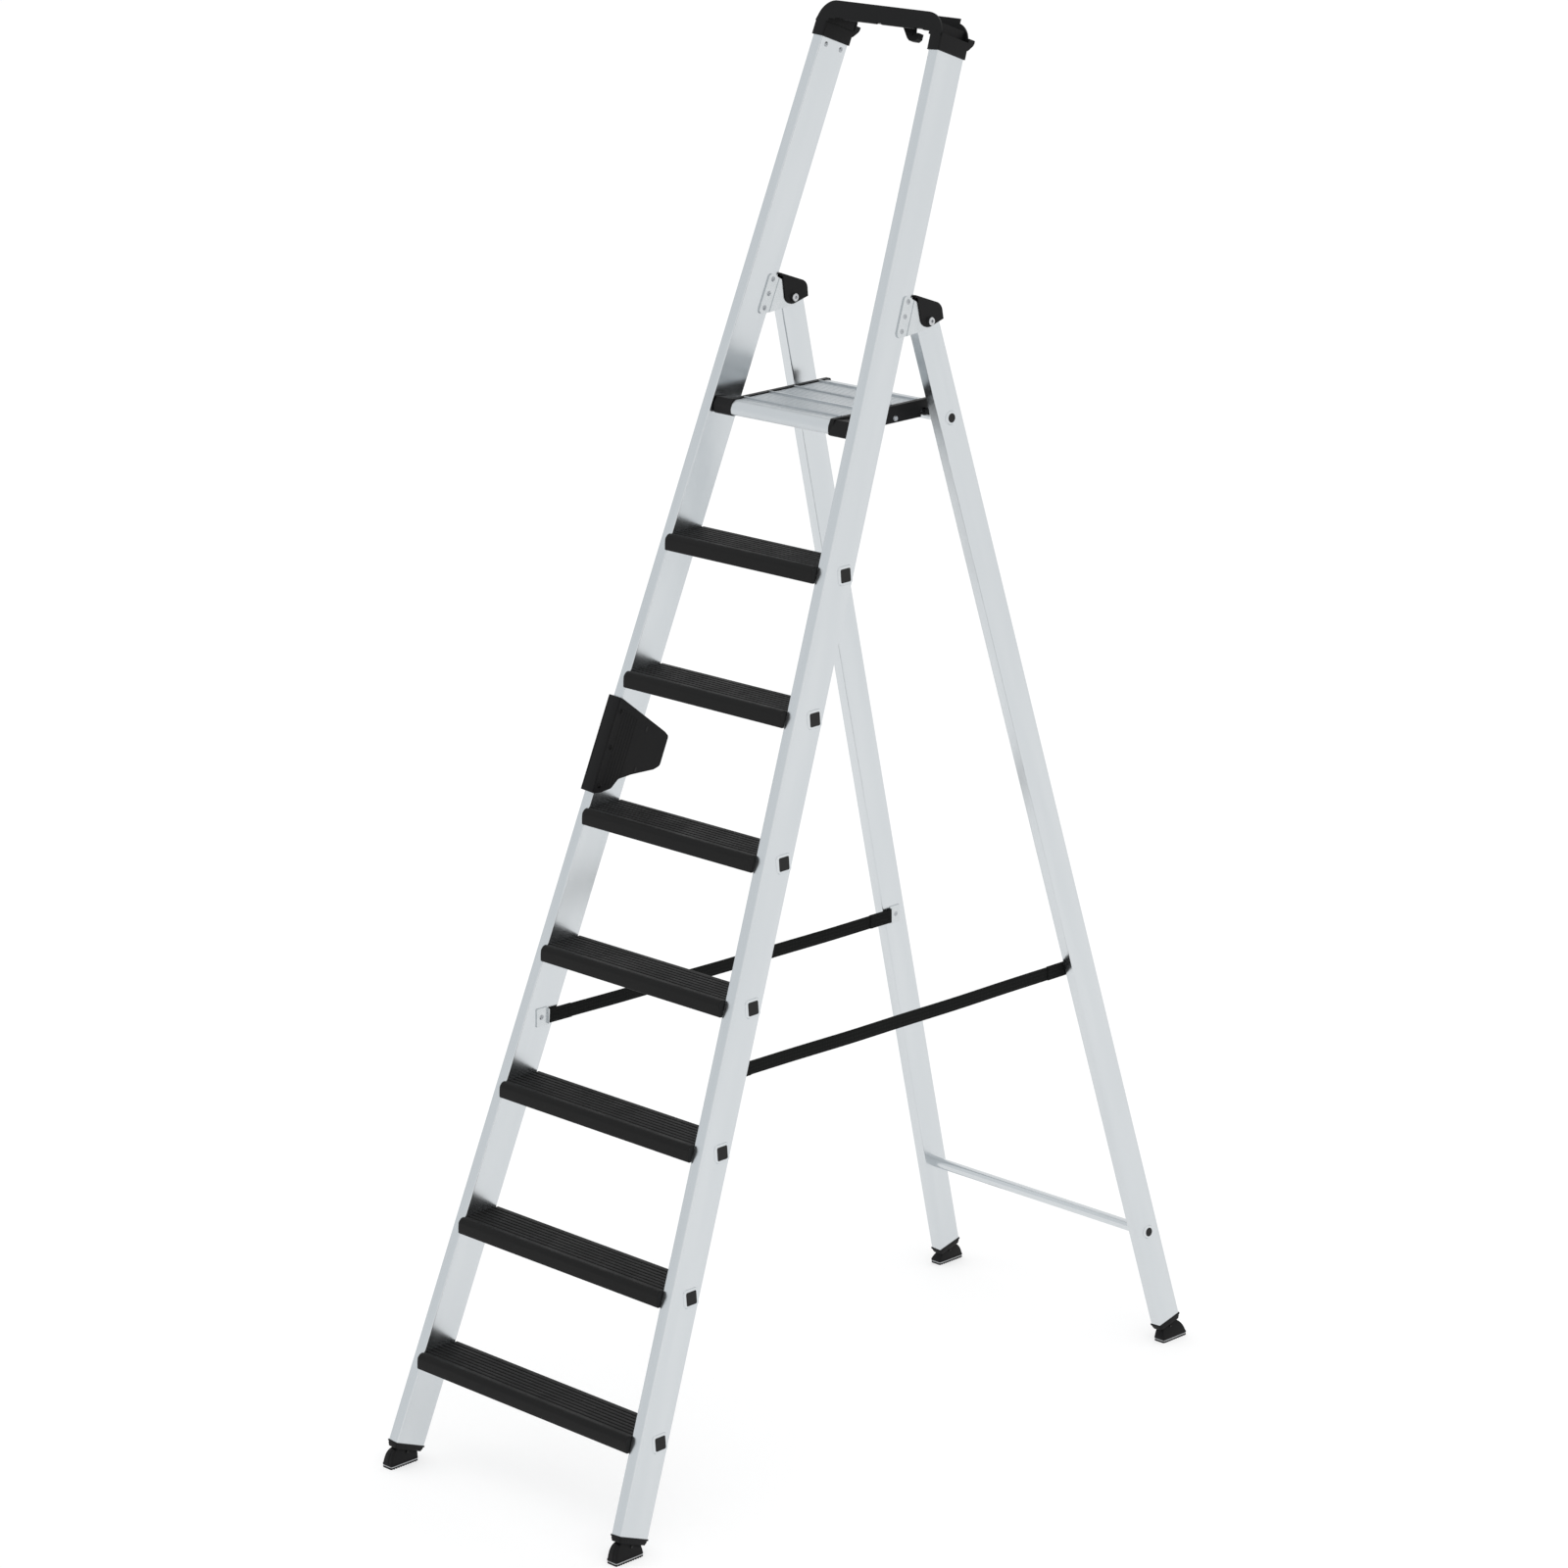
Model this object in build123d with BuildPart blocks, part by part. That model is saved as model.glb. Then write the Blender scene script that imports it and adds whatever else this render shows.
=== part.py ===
from build123d import *
from math import cos, radians, sin, tan
import os

# Aluminium platform step ladder, opened and standing on its four feet.
# Millimetres, +Z up, +X to the user's right, +Y from the climbing side to the rear legs.
# The origin lies on the floor, at the middle of the footprint.

# ---------------------------------------------------------------- driving dimensions
front_lean = 21.95          # climbing frame, degrees from vertical
rear_lean = 13.8            # rear legs, degrees from vertical
flare = 3.4                 # both frames spread towards the floor, degrees
step_count = 7
step_pitch = 250.44         # along the stile
first_step_t = 164.8        # stile end to the first step's axis, along the stile

stile_width = 23.0
stile_depth = 66.0
stile_wall = 1.8
stile_length = 2592.0
half_width = 305.4          # ladder centre to the outer face at the stile's lower end
stile_end_y = -699.6        # front edge of the stile's lower end
stile_end_z = 49.9

leg_width = 22.6
leg_depth = 53.5
leg_wall = 1.6
leg_length = 1998.0         # pivot bolt to the leg's lower end

hinge_v = 113.0             # stile's front face to the pivot bolt
hinge_t = 2127.0            # stile's lower end to the pivot bolt, along the stile
bolt_radius = 4.0
plate_thick = 2.5
plate_joggle = 1.0          # hinge plates stand this much further out beside the leg

core_size = 28.0            # square tube of a step, through both stiles
core_wall = 2.0
core_v = 45.4               # stile's front face to the step's axis
rim_size = 34.0
rim_height = 1.8
tread_clearance = 0.05

tube_radius = 10.0          # round cross tubes of the rear frame
tube_wall = 1.8
support_drop = 180.4        # pivot bolt to the platform's support tube, along the leg
crossbar_drop = 1806.0      # pivot bolt to the lower crossbar, along the leg

platform_half = 121.0       # half width of the aluminium plate
platform_top = 1825.0
platform_rail = 10.0
platform_rear_y = 246.5
platform_pivot_y = 28.4
platform_pivot_z = 1811.0

strap_height = 26.0
strap_thick = 1.8
strap_end_thick = 4.5
strap_end_length = 51.0

foot_length = 62.0
foot_width = 25.6
foot_centre_y = 683.0
front_foot_x = 296.3
rear_foot_x = 291.6
sole_height = 3.4
rib_height = 2.0
liner_height = 1.8
foot_pivot_drop = 15.0      # stile or leg end to the foot's pin, along the leg
foot_pin_radius = 2.5
foot_head_radius = 12.0
foot_head_half = 7.5
ear_radius = 8.0

rivet_radius = 2.4

os.makedirs("parts", exist_ok=True)


# ---------------------------------------------------------------- frames and helpers
def placed(frame, plane):
    """The plane, given in the frame's own coordinates."""
    return Plane(frame.location * plane.location)


def across(plane):
    """The same plane on the other side of the ladder."""
    o = plane.origin
    x = plane.x_dir
    n = plane.z_dir
    return Plane(origin=(-o.X, o.Y, o.Z), x_dir=(-x.X, x.Y, x.Z), z_dir=(-n.X, n.Y, n.Z))


def save(builder, name):
    builder.part.label = name
    export_step(builder.part, f"parts/{name}.step")


# front: x across, y from the stile's front face backwards, z up along the climbing frame
front = Plane(
    origin=(0, stile_end_y, stile_end_z),
    x_dir=(1, 0, 0),
    z_dir=(0, sin(radians(front_lean)), cos(radians(front_lean))),
)
# side: x out of the right stile's outer face, y backwards, z up along that stile
side = placed(
    front,
    Plane(
        origin=(half_width, 0, 0),
        x_dir=(cos(radians(flare)), 0, sin(radians(flare))),
        z_dir=(-sin(radians(flare)), 0, cos(radians(flare))),
    ),
)
hinge = side.from_local_coords(Vector(-stile_width / 2, hinge_v, hinge_t))
rear = Plane(
    origin=(0, hinge.Y, hinge.Z),
    x_dir=(1, 0, 0),
    z_dir=(0, -sin(radians(rear_lean)), cos(radians(rear_lean))),
)
# leg: the right rear leg's own frame, with its origin on the pivot bolt and z up the leg
leg = placed(
    rear,
    Plane(
        origin=(hinge.X, 0, 0),
        x_dir=(cos(radians(flare)), 0, sin(radians(flare))),
        z_dir=(-sin(radians(flare)), 0, cos(radians(flare))),
    ),
)
inner_face = placed(side, Plane.YZ.offset(-stile_width))
outer_face = placed(side, Plane.YZ)
leg_inner = placed(leg, Plane.YZ.offset(-leg_width / 2))
leg_outer = placed(leg, Plane.YZ.offset(leg_width / 2))


def core_centre(index):
    """Centre of a step's square tube, in the middle of the right stile."""
    t = first_step_t + index * step_pitch
    return side.from_local_coords(Vector(-stile_width / 2, core_v, t))


def cross_section(centre):
    """Sketch plane across the ladder: x backwards, y up."""
    return Plane(origin=(0, centre.Y, centre.Z), x_dir=(0, 1, 0), z_dir=(1, 0, 0))


def on_face(face, centre):
    """The face, with its origin where a line along X through the centre meets it."""
    n = face.z_dir
    o = face.origin
    x = o.X - (n.Y * (centre.Y - o.Y) + n.Z * (centre.Z - o.Z)) / n.X
    return Plane(origin=(x, centre.Y, centre.Z), x_dir=(0, 1, 0), z_dir=n)


def rear_centre(drop):
    """A point on the rear legs' centre line, below the pivot bolt."""
    return rear.from_local_coords(Vector(0, 0, -drop))


centres = [core_centre(i) for i in range(step_count)]
support = rear_centre(support_drop)
crossbar = rear_centre(crossbar_drop)
hinge_section = cross_section(hinge)

# places of the blind rivets, as (backwards, up) on a stile's face
hinge_rivets = [(54.5, hinge_t + lift) for lift in (18.7, -7.3, -33.3)]
tray_rivets = [(15.0, 2560.5), (52.5, 2560.5)]
grip_rivets = [(6.0, 1347.0), (6.0, 1281.5), (6.0, 1212.0)]

# strap anchors: the middle of each bracket's rivet, on the faces that look at each other
pivot_point = Vector(0, platform_pivot_y, platform_pivot_z)
strap_front = Vector(0, -372.2, 767.6)
strap_rear = Vector(0, 499.5, 756.3)
bracket_size = (34.0, 26.0)
bracket_thick = 2.0

# ---------------------------------------------------------------- stiles
bracket_face = on_face(inner_face, strap_front)

with BuildPart() as stile_right:
    with BuildSketch(placed(side, Plane.XY)):
        with Locations((-stile_width / 2, stile_depth / 2)):
            RectangleRounded(stile_width, stile_depth, 2.0)
            RectangleRounded(
                stile_width - 2 * stile_wall, stile_depth - 2 * stile_wall, 0.8, mode=Mode.SUBTRACT
            )
    extrude(amount=stile_length)
    for centre in centres:
        with BuildSketch(cross_section(centre)):
            RectangleRounded(core_size + 0.1, core_size + 0.1, 4.0)
        extrude(amount=2 * half_width, mode=Mode.SUBTRACT)
    with BuildSketch(outer_face):
        with Locations(*hinge_rivets):
            Circle(rivet_radius)
    extrude(amount=-stile_width, mode=Mode.SUBTRACT)
    with BuildSketch(inner_face):
        with Locations(*tray_rivets):
            Circle(rivet_radius)
    extrude(amount=stile_wall + 0.5, mode=Mode.SUBTRACT)
    with BuildSketch(bracket_face):
        Circle(rivet_radius)
    extrude(amount=stile_wall + 0.5, mode=Mode.SUBTRACT)
    with BuildSketch(cross_section(pivot_point).offset(on_face(inner_face, pivot_point).origin.X - 2.0)):
        Circle(bolt_radius)
    extrude(amount=stile_wall + 2.5, mode=Mode.SUBTRACT)
save(stile_right, "stile_right")

with BuildPart() as stile_with_grip_holes:
    add(stile_right.part)
    with BuildSketch(inner_face):
        with Locations(*grip_rivets):
            Circle(rivet_radius)
    extrude(amount=stile_wall + 0.5, mode=Mode.SUBTRACT)

with BuildPart() as stile_left:
    mirror(stile_with_grip_holes.part, about=Plane.YZ)
save(stile_left, "stile_left")


# ---------------------------------------------------------------- steps and treads
def make_step(centre):
    """One aluminium step: a hat-shaped deck on a square tube that ends in flared rims."""
    section = cross_section(centre)
    half = core_size / 2
    with BuildPart() as deck:
        with BuildSketch(section):
            with Locations((-11.0, half + 1.0)):
                Rectangle(86.0, 2.0)
            with Locations((-53.0, 5.0)):
                Rectangle(2.0, 22.0)
            with Locations((31.0, 4.0)):
                Rectangle(2.0, 24.0)
            RectangleRounded(core_size, core_size, 4.0)
        extrude(amount=half_width, both=True)
        split(bisect_by=inner_face, keep=Keep.BOTTOM)
        split(bisect_by=across(inner_face), keep=Keep.BOTTOM)
    with BuildPart() as tube:
        with BuildSketch(section):
            RectangleRounded(core_size, core_size, 4.0)
        extrude(amount=half_width + 5.0, both=True)
        split(bisect_by=outer_face, keep=Keep.BOTTOM)
        split(bisect_by=across(outer_face), keep=Keep.BOTTOM)
        rim = on_face(outer_face, centre)
        with BuildSketch(rim, across(rim)):
            RectangleRounded(rim_size, rim_size, 8.0)
        extrude(amount=rim_height, taper=30)
    with BuildPart() as step:
        add(deck.part)
        add(tube.part)
        with BuildSketch(section):
            RectangleRounded(core_size - 2 * core_wall, core_size - 2 * core_wall, 3.0)
        extrude(amount=half_width + 10.0, both=True, mode=Mode.SUBTRACT)
    return step


def make_tread(centre):
    """Black plastic tread, clipped over the deck, with a proud rounded nose."""
    gap = tread_clearance
    with BuildPart() as tread:
        with BuildSketch(cross_section(centre)):
            with BuildLine():
                Polyline(
                    (-47.0, 20.5),
                    (-44.0, 20.5),
                    (-43.5, 19.0),
                    (33.0, 19.0),
                    (34.0, 18.0),
                    (34.0, 12.0),
                    (32.0 + gap, 12.0),
                    (32.0 + gap, 16.0 + gap),
                    (-54.0 - gap, 16.0 + gap),
                    (-54.0 - gap, -6.0 - gap),
                    (-51.0, -6.0 - gap),
                    (-51.0, -8.5),
                    (-55.5, -8.5),
                    (-57.0, -7.0),
                    (-57.5, 8.0),
                )
                TangentArc((-57.5, 8.0), (-47.0, 20.5), tangent=(-0.03, 1.0))
            make_face()
            with Locations((-8.0, 19.0)):
                with GridLocations(10.0, 0, 7, 1):
                    Rectangle(3.0, 2.6, mode=Mode.SUBTRACT)
        extrude(amount=half_width, both=True)
        stop = placed(side, Plane.YZ.offset(-stile_width - 0.4))
        split(bisect_by=stop, keep=Keep.BOTTOM)
        split(bisect_by=across(stop), keep=Keep.BOTTOM)
        end = on_face(stop, centre).origin.X
        notch = cross_section(centre + Vector(0, 33.0, 17.0))
        with BuildSketch(notch.offset(end - 6.0), notch.offset(3.0 - end)):
            Rectangle(6.0, 12.0)
        extrude(amount=3.0, mode=Mode.SUBTRACT)
    return tread


for number, centre in enumerate(centres, start=1):
    save(make_step(centre), f"step_{number}")
    save(make_tread(centre), f"tread_{number}")

with BuildPart() as step_plugs:
    for centre in centres:
        plug_face = on_face(outer_face, centre)
        with BuildSketch(plug_face, across(plug_face)):
            RectangleRounded(23.8, 23.8, 2.9)
        extrude(amount=1.2)
        with BuildSketch(plug_face, across(plug_face)):
            RectangleRounded(23.0, 23.0, 2.6)
        extrude(amount=-7.0)
save(step_plugs, "step_plugs")

# ---------------------------------------------------------------- top tray
tray_bottom_t = 2572.0
tray_wall = 2.6
tray_bar_u = 2600.0
tray_floor_u = 2611.0
tray_floor_thick = 4.0
tray_top_u = 2630.0
tray_rear_u = 2637.0
tray_corner = 40.0
tray_half = 152.0
tray_floor_half = 141.0
sleeve_top_u = 2594.0
hook_v = 30.0
hook_thick = 12.0


def elevation(v):
    """Sketch plane across the climbing frame: x to the right, y up along the frame."""
    return placed(front, Plane(origin=(0, v, 0), x_dir=(1, 0, 0), z_dir=(0, -1, 0)))


def tray_wall_outline(bottom_u, top_u, square_half):
    """Rounded long wall of the tray, with a taller middle when square_half is given."""
    centre_x = tray_half - tray_corner
    centre_u = tray_top_u - tray_corner
    for sign in (1, -1):
        with Locations((sign * centre_x, centre_u)):
            Circle(tray_corner)
    with Locations((0, (centre_u + tray_top_u) / 2)):
        Rectangle(2 * centre_x, tray_corner)
    with Locations((0, (centre_u + tray_bottom_t) / 2)):
        Rectangle(2 * tray_half, centre_u - tray_bottom_t)
    if square_half:
        with Locations((0, (top_u + centre_u) / 2)):
            Rectangle(2 * square_half, top_u - centre_u)
    with Locations((0, bottom_u - 50.0)):
        Rectangle(2 * tray_half + 20.0, 100.0, mode=Mode.SUBTRACT)


with BuildPart() as sleeve:
    sleeve_height = (sleeve_top_u - 2567.5) / cos(radians(flare)) + 3.0
    with BuildSketch(placed(side, Plane.XY.offset(tray_bottom_t))):
        with Locations((-stile_width / 2, stile_depth / 2)):
            RectangleRounded(stile_width + 2 * tray_wall, stile_depth + 2 * tray_wall, 3.0)
    extrude(amount=sleeve_height)
    with BuildSketch(placed(side, Plane.XY.offset(tray_bottom_t))):
        with Locations((-stile_width / 2, stile_depth / 2)):
            Rectangle(stile_width + 0.1, stile_depth + 0.1)
    extrude(amount=stile_length - tray_bottom_t + 0.1, mode=Mode.SUBTRACT)
    with BuildSketch(placed(side, Plane.XY.offset(2546.0))):
        with Locations((-stile_width / 2, stile_depth / 2)):
            RectangleRounded(
                stile_width - 2 * stile_wall - 0.1, stile_depth - 2 * stile_wall - 0.1, 1.0
            )
    extrude(amount=stile_length - 2546.0 + 1.0)
    with BuildSketch(placed(side, Plane.YZ.offset(tray_wall))):
        with BuildLine():
            Polyline(
                (stile_depth, tray_bottom_t + 16.0),
                (stile_depth + 3.0, tray_bottom_t + 16.0),
                (stile_depth + 12.0, tray_bottom_t + 26.0),
            )
            ThreePointArc(
                (stile_depth + 12.0, tray_bottom_t + 26.0),
                (stile_depth + 15.0, tray_bottom_t + 32.0),
                (stile_depth + 15.0, tray_bottom_t + 37.0),
            )
            Polyline(
                (stile_depth + 15.0, tray_bottom_t + 37.0),
                (stile_depth, tray_bottom_t + 37.0),
                (stile_depth, tray_bottom_t + 16.0),
            )
        make_face()
    extrude(amount=-stile_width - 2 * tray_wall)

with BuildPart() as top_tray:
    with BuildSketch(elevation(-tray_wall)):
        tray_wall_outline(tray_bar_u, tray_top_u, 0)
    extrude(amount=-4.2)
    with BuildSketch(elevation(stile_depth - 1.0)):
        tray_wall_outline(tray_floor_u, tray_rear_u, tray_half - tray_corner + 8.5)
    extrude(amount=-(tray_wall + 1.0))
    with BuildSketch(elevation(-tray_wall)):
        with Locations((0, tray_floor_u + tray_floor_thick / 2)):
            Rectangle(2 * tray_floor_half, tray_floor_thick)
    extrude(amount=-(stile_depth + 2 * tray_wall))
    with BuildSketch(elevation(-tray_wall)):
        for x_middle, x_length in ((46.5, 81.0), (-46.5, 81.0), (116.0, 18.0), (-116.0, 18.0)):
            with Locations((x_middle, tray_bar_u - 1.0)):
                Rectangle(x_length, 3.0)
    extrude(amount=-4.2)
    add(sleeve.part)
    mirror(sleeve.part, about=Plane.YZ)
    with BuildSketch(elevation(-tray_wall)):
        for sign in (1, -1):
            with Locations((sign * (tray_floor_half - 9.0), (sleeve_top_u + tray_floor_u) / 2)):
                Rectangle(18.0, tray_floor_u - sleeve_top_u + 4.0)
    extrude(amount=-(stile_depth + 2 * tray_wall))
    with BuildSketch(elevation(hook_v)):
        with BuildLine():
            Polyline(
                (20.0, tray_floor_u + 1.0),
                (43.0, 2586.0),
                (49.0, 2582.0),
                (63.0, 2582.0),
                (68.5, 2587.0),
                (68.5, 2597.0),
                (56.0, 2597.0),
                (56.0, 2592.0),
                (53.0, 2592.0),
                (48.0, tray_floor_u + 1.0),
                close=True,
            )
        make_face()
    extrude(amount=-hook_thick)
    for face in (inner_face, across(inner_face)):
        way = face.y_dir.Z
        with BuildSketch(face):
            with Locations(*[(v, t if way > 0 else -t) for v, t in tray_rivets]):
                Circle(rivet_radius)
        extrude(amount=stile_wall + 1.2, mode=Mode.SUBTRACT)
save(top_tray, "top_tray")

# ---------------------------------------------------------------- hinges
with BuildPart() as plate_outer:
    with BuildSketch(outer_face) as plate_outline:
        with Locations((52.0, hinge_t + 19.7), (52.0, hinge_t - 37.3)):
            Circle(8.0)
        with Locations((hinge_v, hinge_t)):
            Circle(14.0)
        make_hull()
        with Locations(*hinge_rivets):
            Circle(rivet_radius, mode=Mode.SUBTRACT)
    extrude(amount=plate_thick)
    with BuildSketch(outer_face):
        with Locations((stile_depth + 51.0, hinge_t)):
            Rectangle(100.0, 120.0)
    extrude(amount=plate_joggle, mode=Mode.SUBTRACT)
    with BuildSketch(placed(side, Plane.YZ.offset(plate_thick))):
        add(plate_outline.sketch_local)
        with Locations((stile_depth - 48.0, hinge_t)):
            Rectangle(100.0, 120.0, mode=Mode.SUBTRACT)
    extrude(amount=plate_joggle)
    with BuildSketch(hinge_section):
        Circle(bolt_radius)
    extrude(amount=half_width, mode=Mode.SUBTRACT)

stile_middle = placed(side, Plane.YZ.offset(-stile_width / 2))

with BuildPart() as hinge_plates_right:
    add(plate_outer.part)
    mirror(plate_outer.part, about=stile_middle)
    with BuildSketch(hinge_section):
        Circle(bolt_radius)
    extrude(amount=half_width, mode=Mode.SUBTRACT)
save(hinge_plates_right, "hinge_plates_right")

with BuildPart() as hinge_plates_left:
    mirror(hinge_plates_right.part, about=Plane.YZ)
save(hinge_plates_left, "hinge_plates_left")

cheek = 2.5
cover_out = plate_thick + plate_joggle + cheek
cover_width = stile_width + 2 * cover_out


def cover_plane(out):
    """Side plane through the pivot bolt, a given distance out of the stile's outer face."""
    return placed(side, Plane(origin=(out, hinge_v, hinge_t), x_dir=(0, 1, 0), z_dir=(1, 0, 0)))


with BuildPart() as hinge_cover_right:
    with BuildSketch(cover_plane(cover_out)):
        with BuildLine():
            Polyline((-46.9, 33.5), (6.0, 34.5))
            ThreePointArc((6.0, 34.5), (19.0, 31.0), (26.0, 22.0))
            Polyline((26.0, 22.0), (32.0, 11.0), (6.0, -8.5))
            ThreePointArc((6.0, -8.5), (-8.0, -12.5), (-20.0, -6.5))
            Polyline((-20.0, -6.5), (-41.0, 29.5), (-45.0, 29.5), (-46.9, 27.5), (-46.9, 33.5))
        make_face()
    extrude(amount=-cover_width)
    with BuildSketch(cover_plane(cover_out - cheek)):
        with BuildLine():
            Polyline((-60.0, 29.4), (6.0, 31.4))
            ThreePointArc((6.0, 31.4), (16.7, 28.6), (23.1, 20.9))
            Polyline((23.1, 20.9), (28.9, 10.0), (28.9, -30.0), (-60.0, -30.0), (-60.0, 29.4))
        make_face()
    extrude(amount=-cover_width + 2 * cheek, mode=Mode.SUBTRACT)
    with BuildSketch(hinge_section):
        Circle(bolt_radius)
    extrude(amount=half_width, mode=Mode.SUBTRACT)
save(hinge_cover_right, "hinge_cover_right")

with BuildPart() as hinge_cover_left:
    mirror(hinge_cover_right.part, about=Plane.YZ)
save(hinge_cover_left, "hinge_cover_left")

bolt_outer = on_face(placed(side, Plane.YZ.offset(cover_out)), hinge)
bolt_inner = on_face(placed(side, Plane.YZ.offset(-stile_width - cover_out)), hinge)
nut_inner = Plane(origin=bolt_inner.origin, x_dir=bolt_inner.x_dir, z_dir=-bolt_inner.z_dir)
shank_split = hinge.X - 15.5

with BuildPart() as bolt:
    with BuildSketch(hinge_section.offset(shank_split)):
        Circle(bolt_radius)
    extrude(amount=bolt_outer.origin.X - shank_split)
    with BuildSketch(bolt_outer):
        Circle(7.0)
    extrude(amount=5.5)
    chamfer(bolt.edges().sort_by(Axis.X)[-1], 0.8)
    with BuildSketch(bolt_outer.offset(5.5)):
        RegularPolygon(3.0, 6)
    extrude(amount=-3.2, mode=Mode.SUBTRACT)

with BuildPart() as pivot_bolts:
    add(bolt.part)
    mirror(bolt.part, about=Plane.YZ)
save(pivot_bolts, "pivot_bolts")

with BuildPart() as sleeve_nut:
    with BuildSketch(hinge_section.offset(bolt_inner.origin.X)):
        Circle(bolt_radius)
    extrude(amount=shank_split - bolt_inner.origin.X)
    with BuildSketch(nut_inner):
        Circle(7.0)
    extrude(amount=4.5)
    chamfer(sleeve_nut.edges().sort_by(Axis.X)[0], 0.8)
    with BuildSketch(nut_inner.offset(4.5)):
        RegularPolygon(3.0, 6)
    extrude(amount=-2.6, mode=Mode.SUBTRACT)

with BuildPart() as pivot_sleeve_nuts:
    add(sleeve_nut.part)
    mirror(sleeve_nut.part, about=Plane.YZ)
save(pivot_sleeve_nuts, "pivot_sleeve_nuts")

bush_radius = 6.0
bush_length = 24.2

with BuildPart() as pivot_bush:
    with BuildSketch(hinge_section.offset(hinge.X - bush_length / 2)):
        Circle(bush_radius)
        Circle(bolt_radius + 0.05, mode=Mode.SUBTRACT)
    extrude(amount=bush_length)

with BuildPart() as pivot_bushes:
    add(pivot_bush.part)
    mirror(pivot_bush.part, about=Plane.YZ)
save(pivot_bushes, "pivot_bushes")

# ---------------------------------------------------------------- rear frame
with BuildPart() as leg_shape:
    with BuildSketch(placed(leg, Plane.YZ.offset(-leg_width))):
        Circle(leg_depth / 2)
        with Locations((0, -leg_length / 2)):
            Rectangle(leg_depth, leg_length)
    extrude(amount=2 * leg_width)

rear_bracket_face = on_face(leg_inner, strap_rear)

with BuildPart() as rear_leg_right:
    with BuildSketch(placed(leg, Plane.XY.offset(-leg_length))):
        RectangleRounded(leg_width, leg_depth, 2.0)
        RectangleRounded(leg_width - 2 * leg_wall, leg_depth - 2 * leg_wall, 0.8, mode=Mode.SUBTRACT)
    extrude(amount=leg_length + leg_depth)
    add(leg_shape.part, mode=Mode.INTERSECT)
    with BuildSketch(hinge_section):
        Circle(bush_radius)
    extrude(amount=half_width, mode=Mode.SUBTRACT)
    for centre in (support, crossbar):
        with BuildSketch(cross_section(centre)):
            Circle(tube_radius)
        extrude(amount=2 * half_width, mode=Mode.SUBTRACT)
    with BuildSketch(rear_bracket_face):
        Circle(rivet_radius)
    extrude(amount=leg_wall + 0.5, mode=Mode.SUBTRACT)
save(rear_leg_right, "rear_leg_right")

with BuildPart() as rear_leg_left:
    mirror(rear_leg_right.part, about=Plane.YZ)
save(rear_leg_left, "rear_leg_left")


def make_cross_tube(centre):
    """Round tube between the rear legs, flared into a rim on both outer faces."""
    rim = on_face(leg_outer, centre)
    with BuildPart() as tube:
        with BuildSketch(cross_section(centre)):
            Circle(tube_radius)
        extrude(amount=2 * half_width, both=True)
        split(bisect_by=leg_outer, keep=Keep.BOTTOM)
        split(bisect_by=across(leg_outer), keep=Keep.BOTTOM)
        with BuildSketch(rim, across(rim)):
            Circle(13.0)
        extrude(amount=2.0, taper=30)
        with BuildSketch(cross_section(centre)):
            Circle(tube_radius - tube_wall)
        extrude(amount=2 * half_width, both=True, mode=Mode.SUBTRACT)
    return tube


save(make_cross_tube(support), "platform_support_tube")
save(make_cross_tube(crossbar), "rear_crossbar")

with BuildPart() as tube_plugs:
    for centre in (support, crossbar):
        plug_face = on_face(leg_outer, centre)
        with BuildSketch(plug_face, across(plug_face)):
            Circle(tube_radius - tube_wall - 0.1)
        extrude(amount=1.4)
        with BuildSketch(plug_face, across(plug_face)):
            Circle(tube_radius - tube_wall - 0.6)
        extrude(amount=-7.0)
save(tube_plugs, "tube_plugs")


# ---------------------------------------------------------------- blind rivets
def make_rivet(grip_length):
    """A blind rivet with its head on the XY plane and its shank below it."""
    with BuildPart() as rivet:
        with BuildSketch(Plane.XZ):
            with BuildLine():
                Polyline((0.9, 1.0), (0.9, 1.7))
                ThreePointArc((0.9, 1.7), (3.2, 1.2), (4.6, 0))
                Polyline(
                    (4.6, 0),
                    (rivet_radius, 0),
                    (rivet_radius, -grip_length),
                    (0, -grip_length),
                    (0, 1.0),
                    (0.9, 1.0),
                )
            make_face()
        revolve(axis=Axis.Z)
    return rivet.part


def at_point(face, point):
    """The face's plane, moved to a point given on it."""
    return placed(face, Plane(origin=(point[0], point[1], 0)))


def turned(plane):
    """The same plane, looking the other way."""
    return Plane(origin=plane.origin, x_dir=plane.x_dir, z_dir=-plane.z_dir)


hinge_rivet = make_rivet(plate_thick + stile_wall)
tray_rivet = make_rivet(stile_wall + 1.0)
plate_rivet = make_rivet(stile_wall + 2.0)

with BuildPart() as front_rivets:
    plate_outside = placed(side, Plane.YZ.offset(plate_thick))
    plate_inside = turned(placed(side, Plane.YZ.offset(-stile_width - plate_thick)))
    for v, t in hinge_rivets:
        outside = at_point(plate_outside, (v, t))
        inside = at_point(plate_inside, (v, -t))
        for seat in (outside, inside, across(outside), across(inside)):
            add(hinge_rivet.moved(seat.location))
    inner_wall = turned(inner_face)
    for v, t in tray_rivets:
        inside = at_point(inner_wall, (v, -t))
        for seat in (inside, across(inside)):
            add(tray_rivet.moved(seat.location))
    strap_seat = turned(bracket_face).offset(bracket_thick)
    for seat in (strap_seat, across(strap_seat)):
        add(plate_rivet.moved(seat.location))
save(front_rivets, "front_rivets")

# ---------------------------------------------------------------- strap brackets and straps

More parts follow.
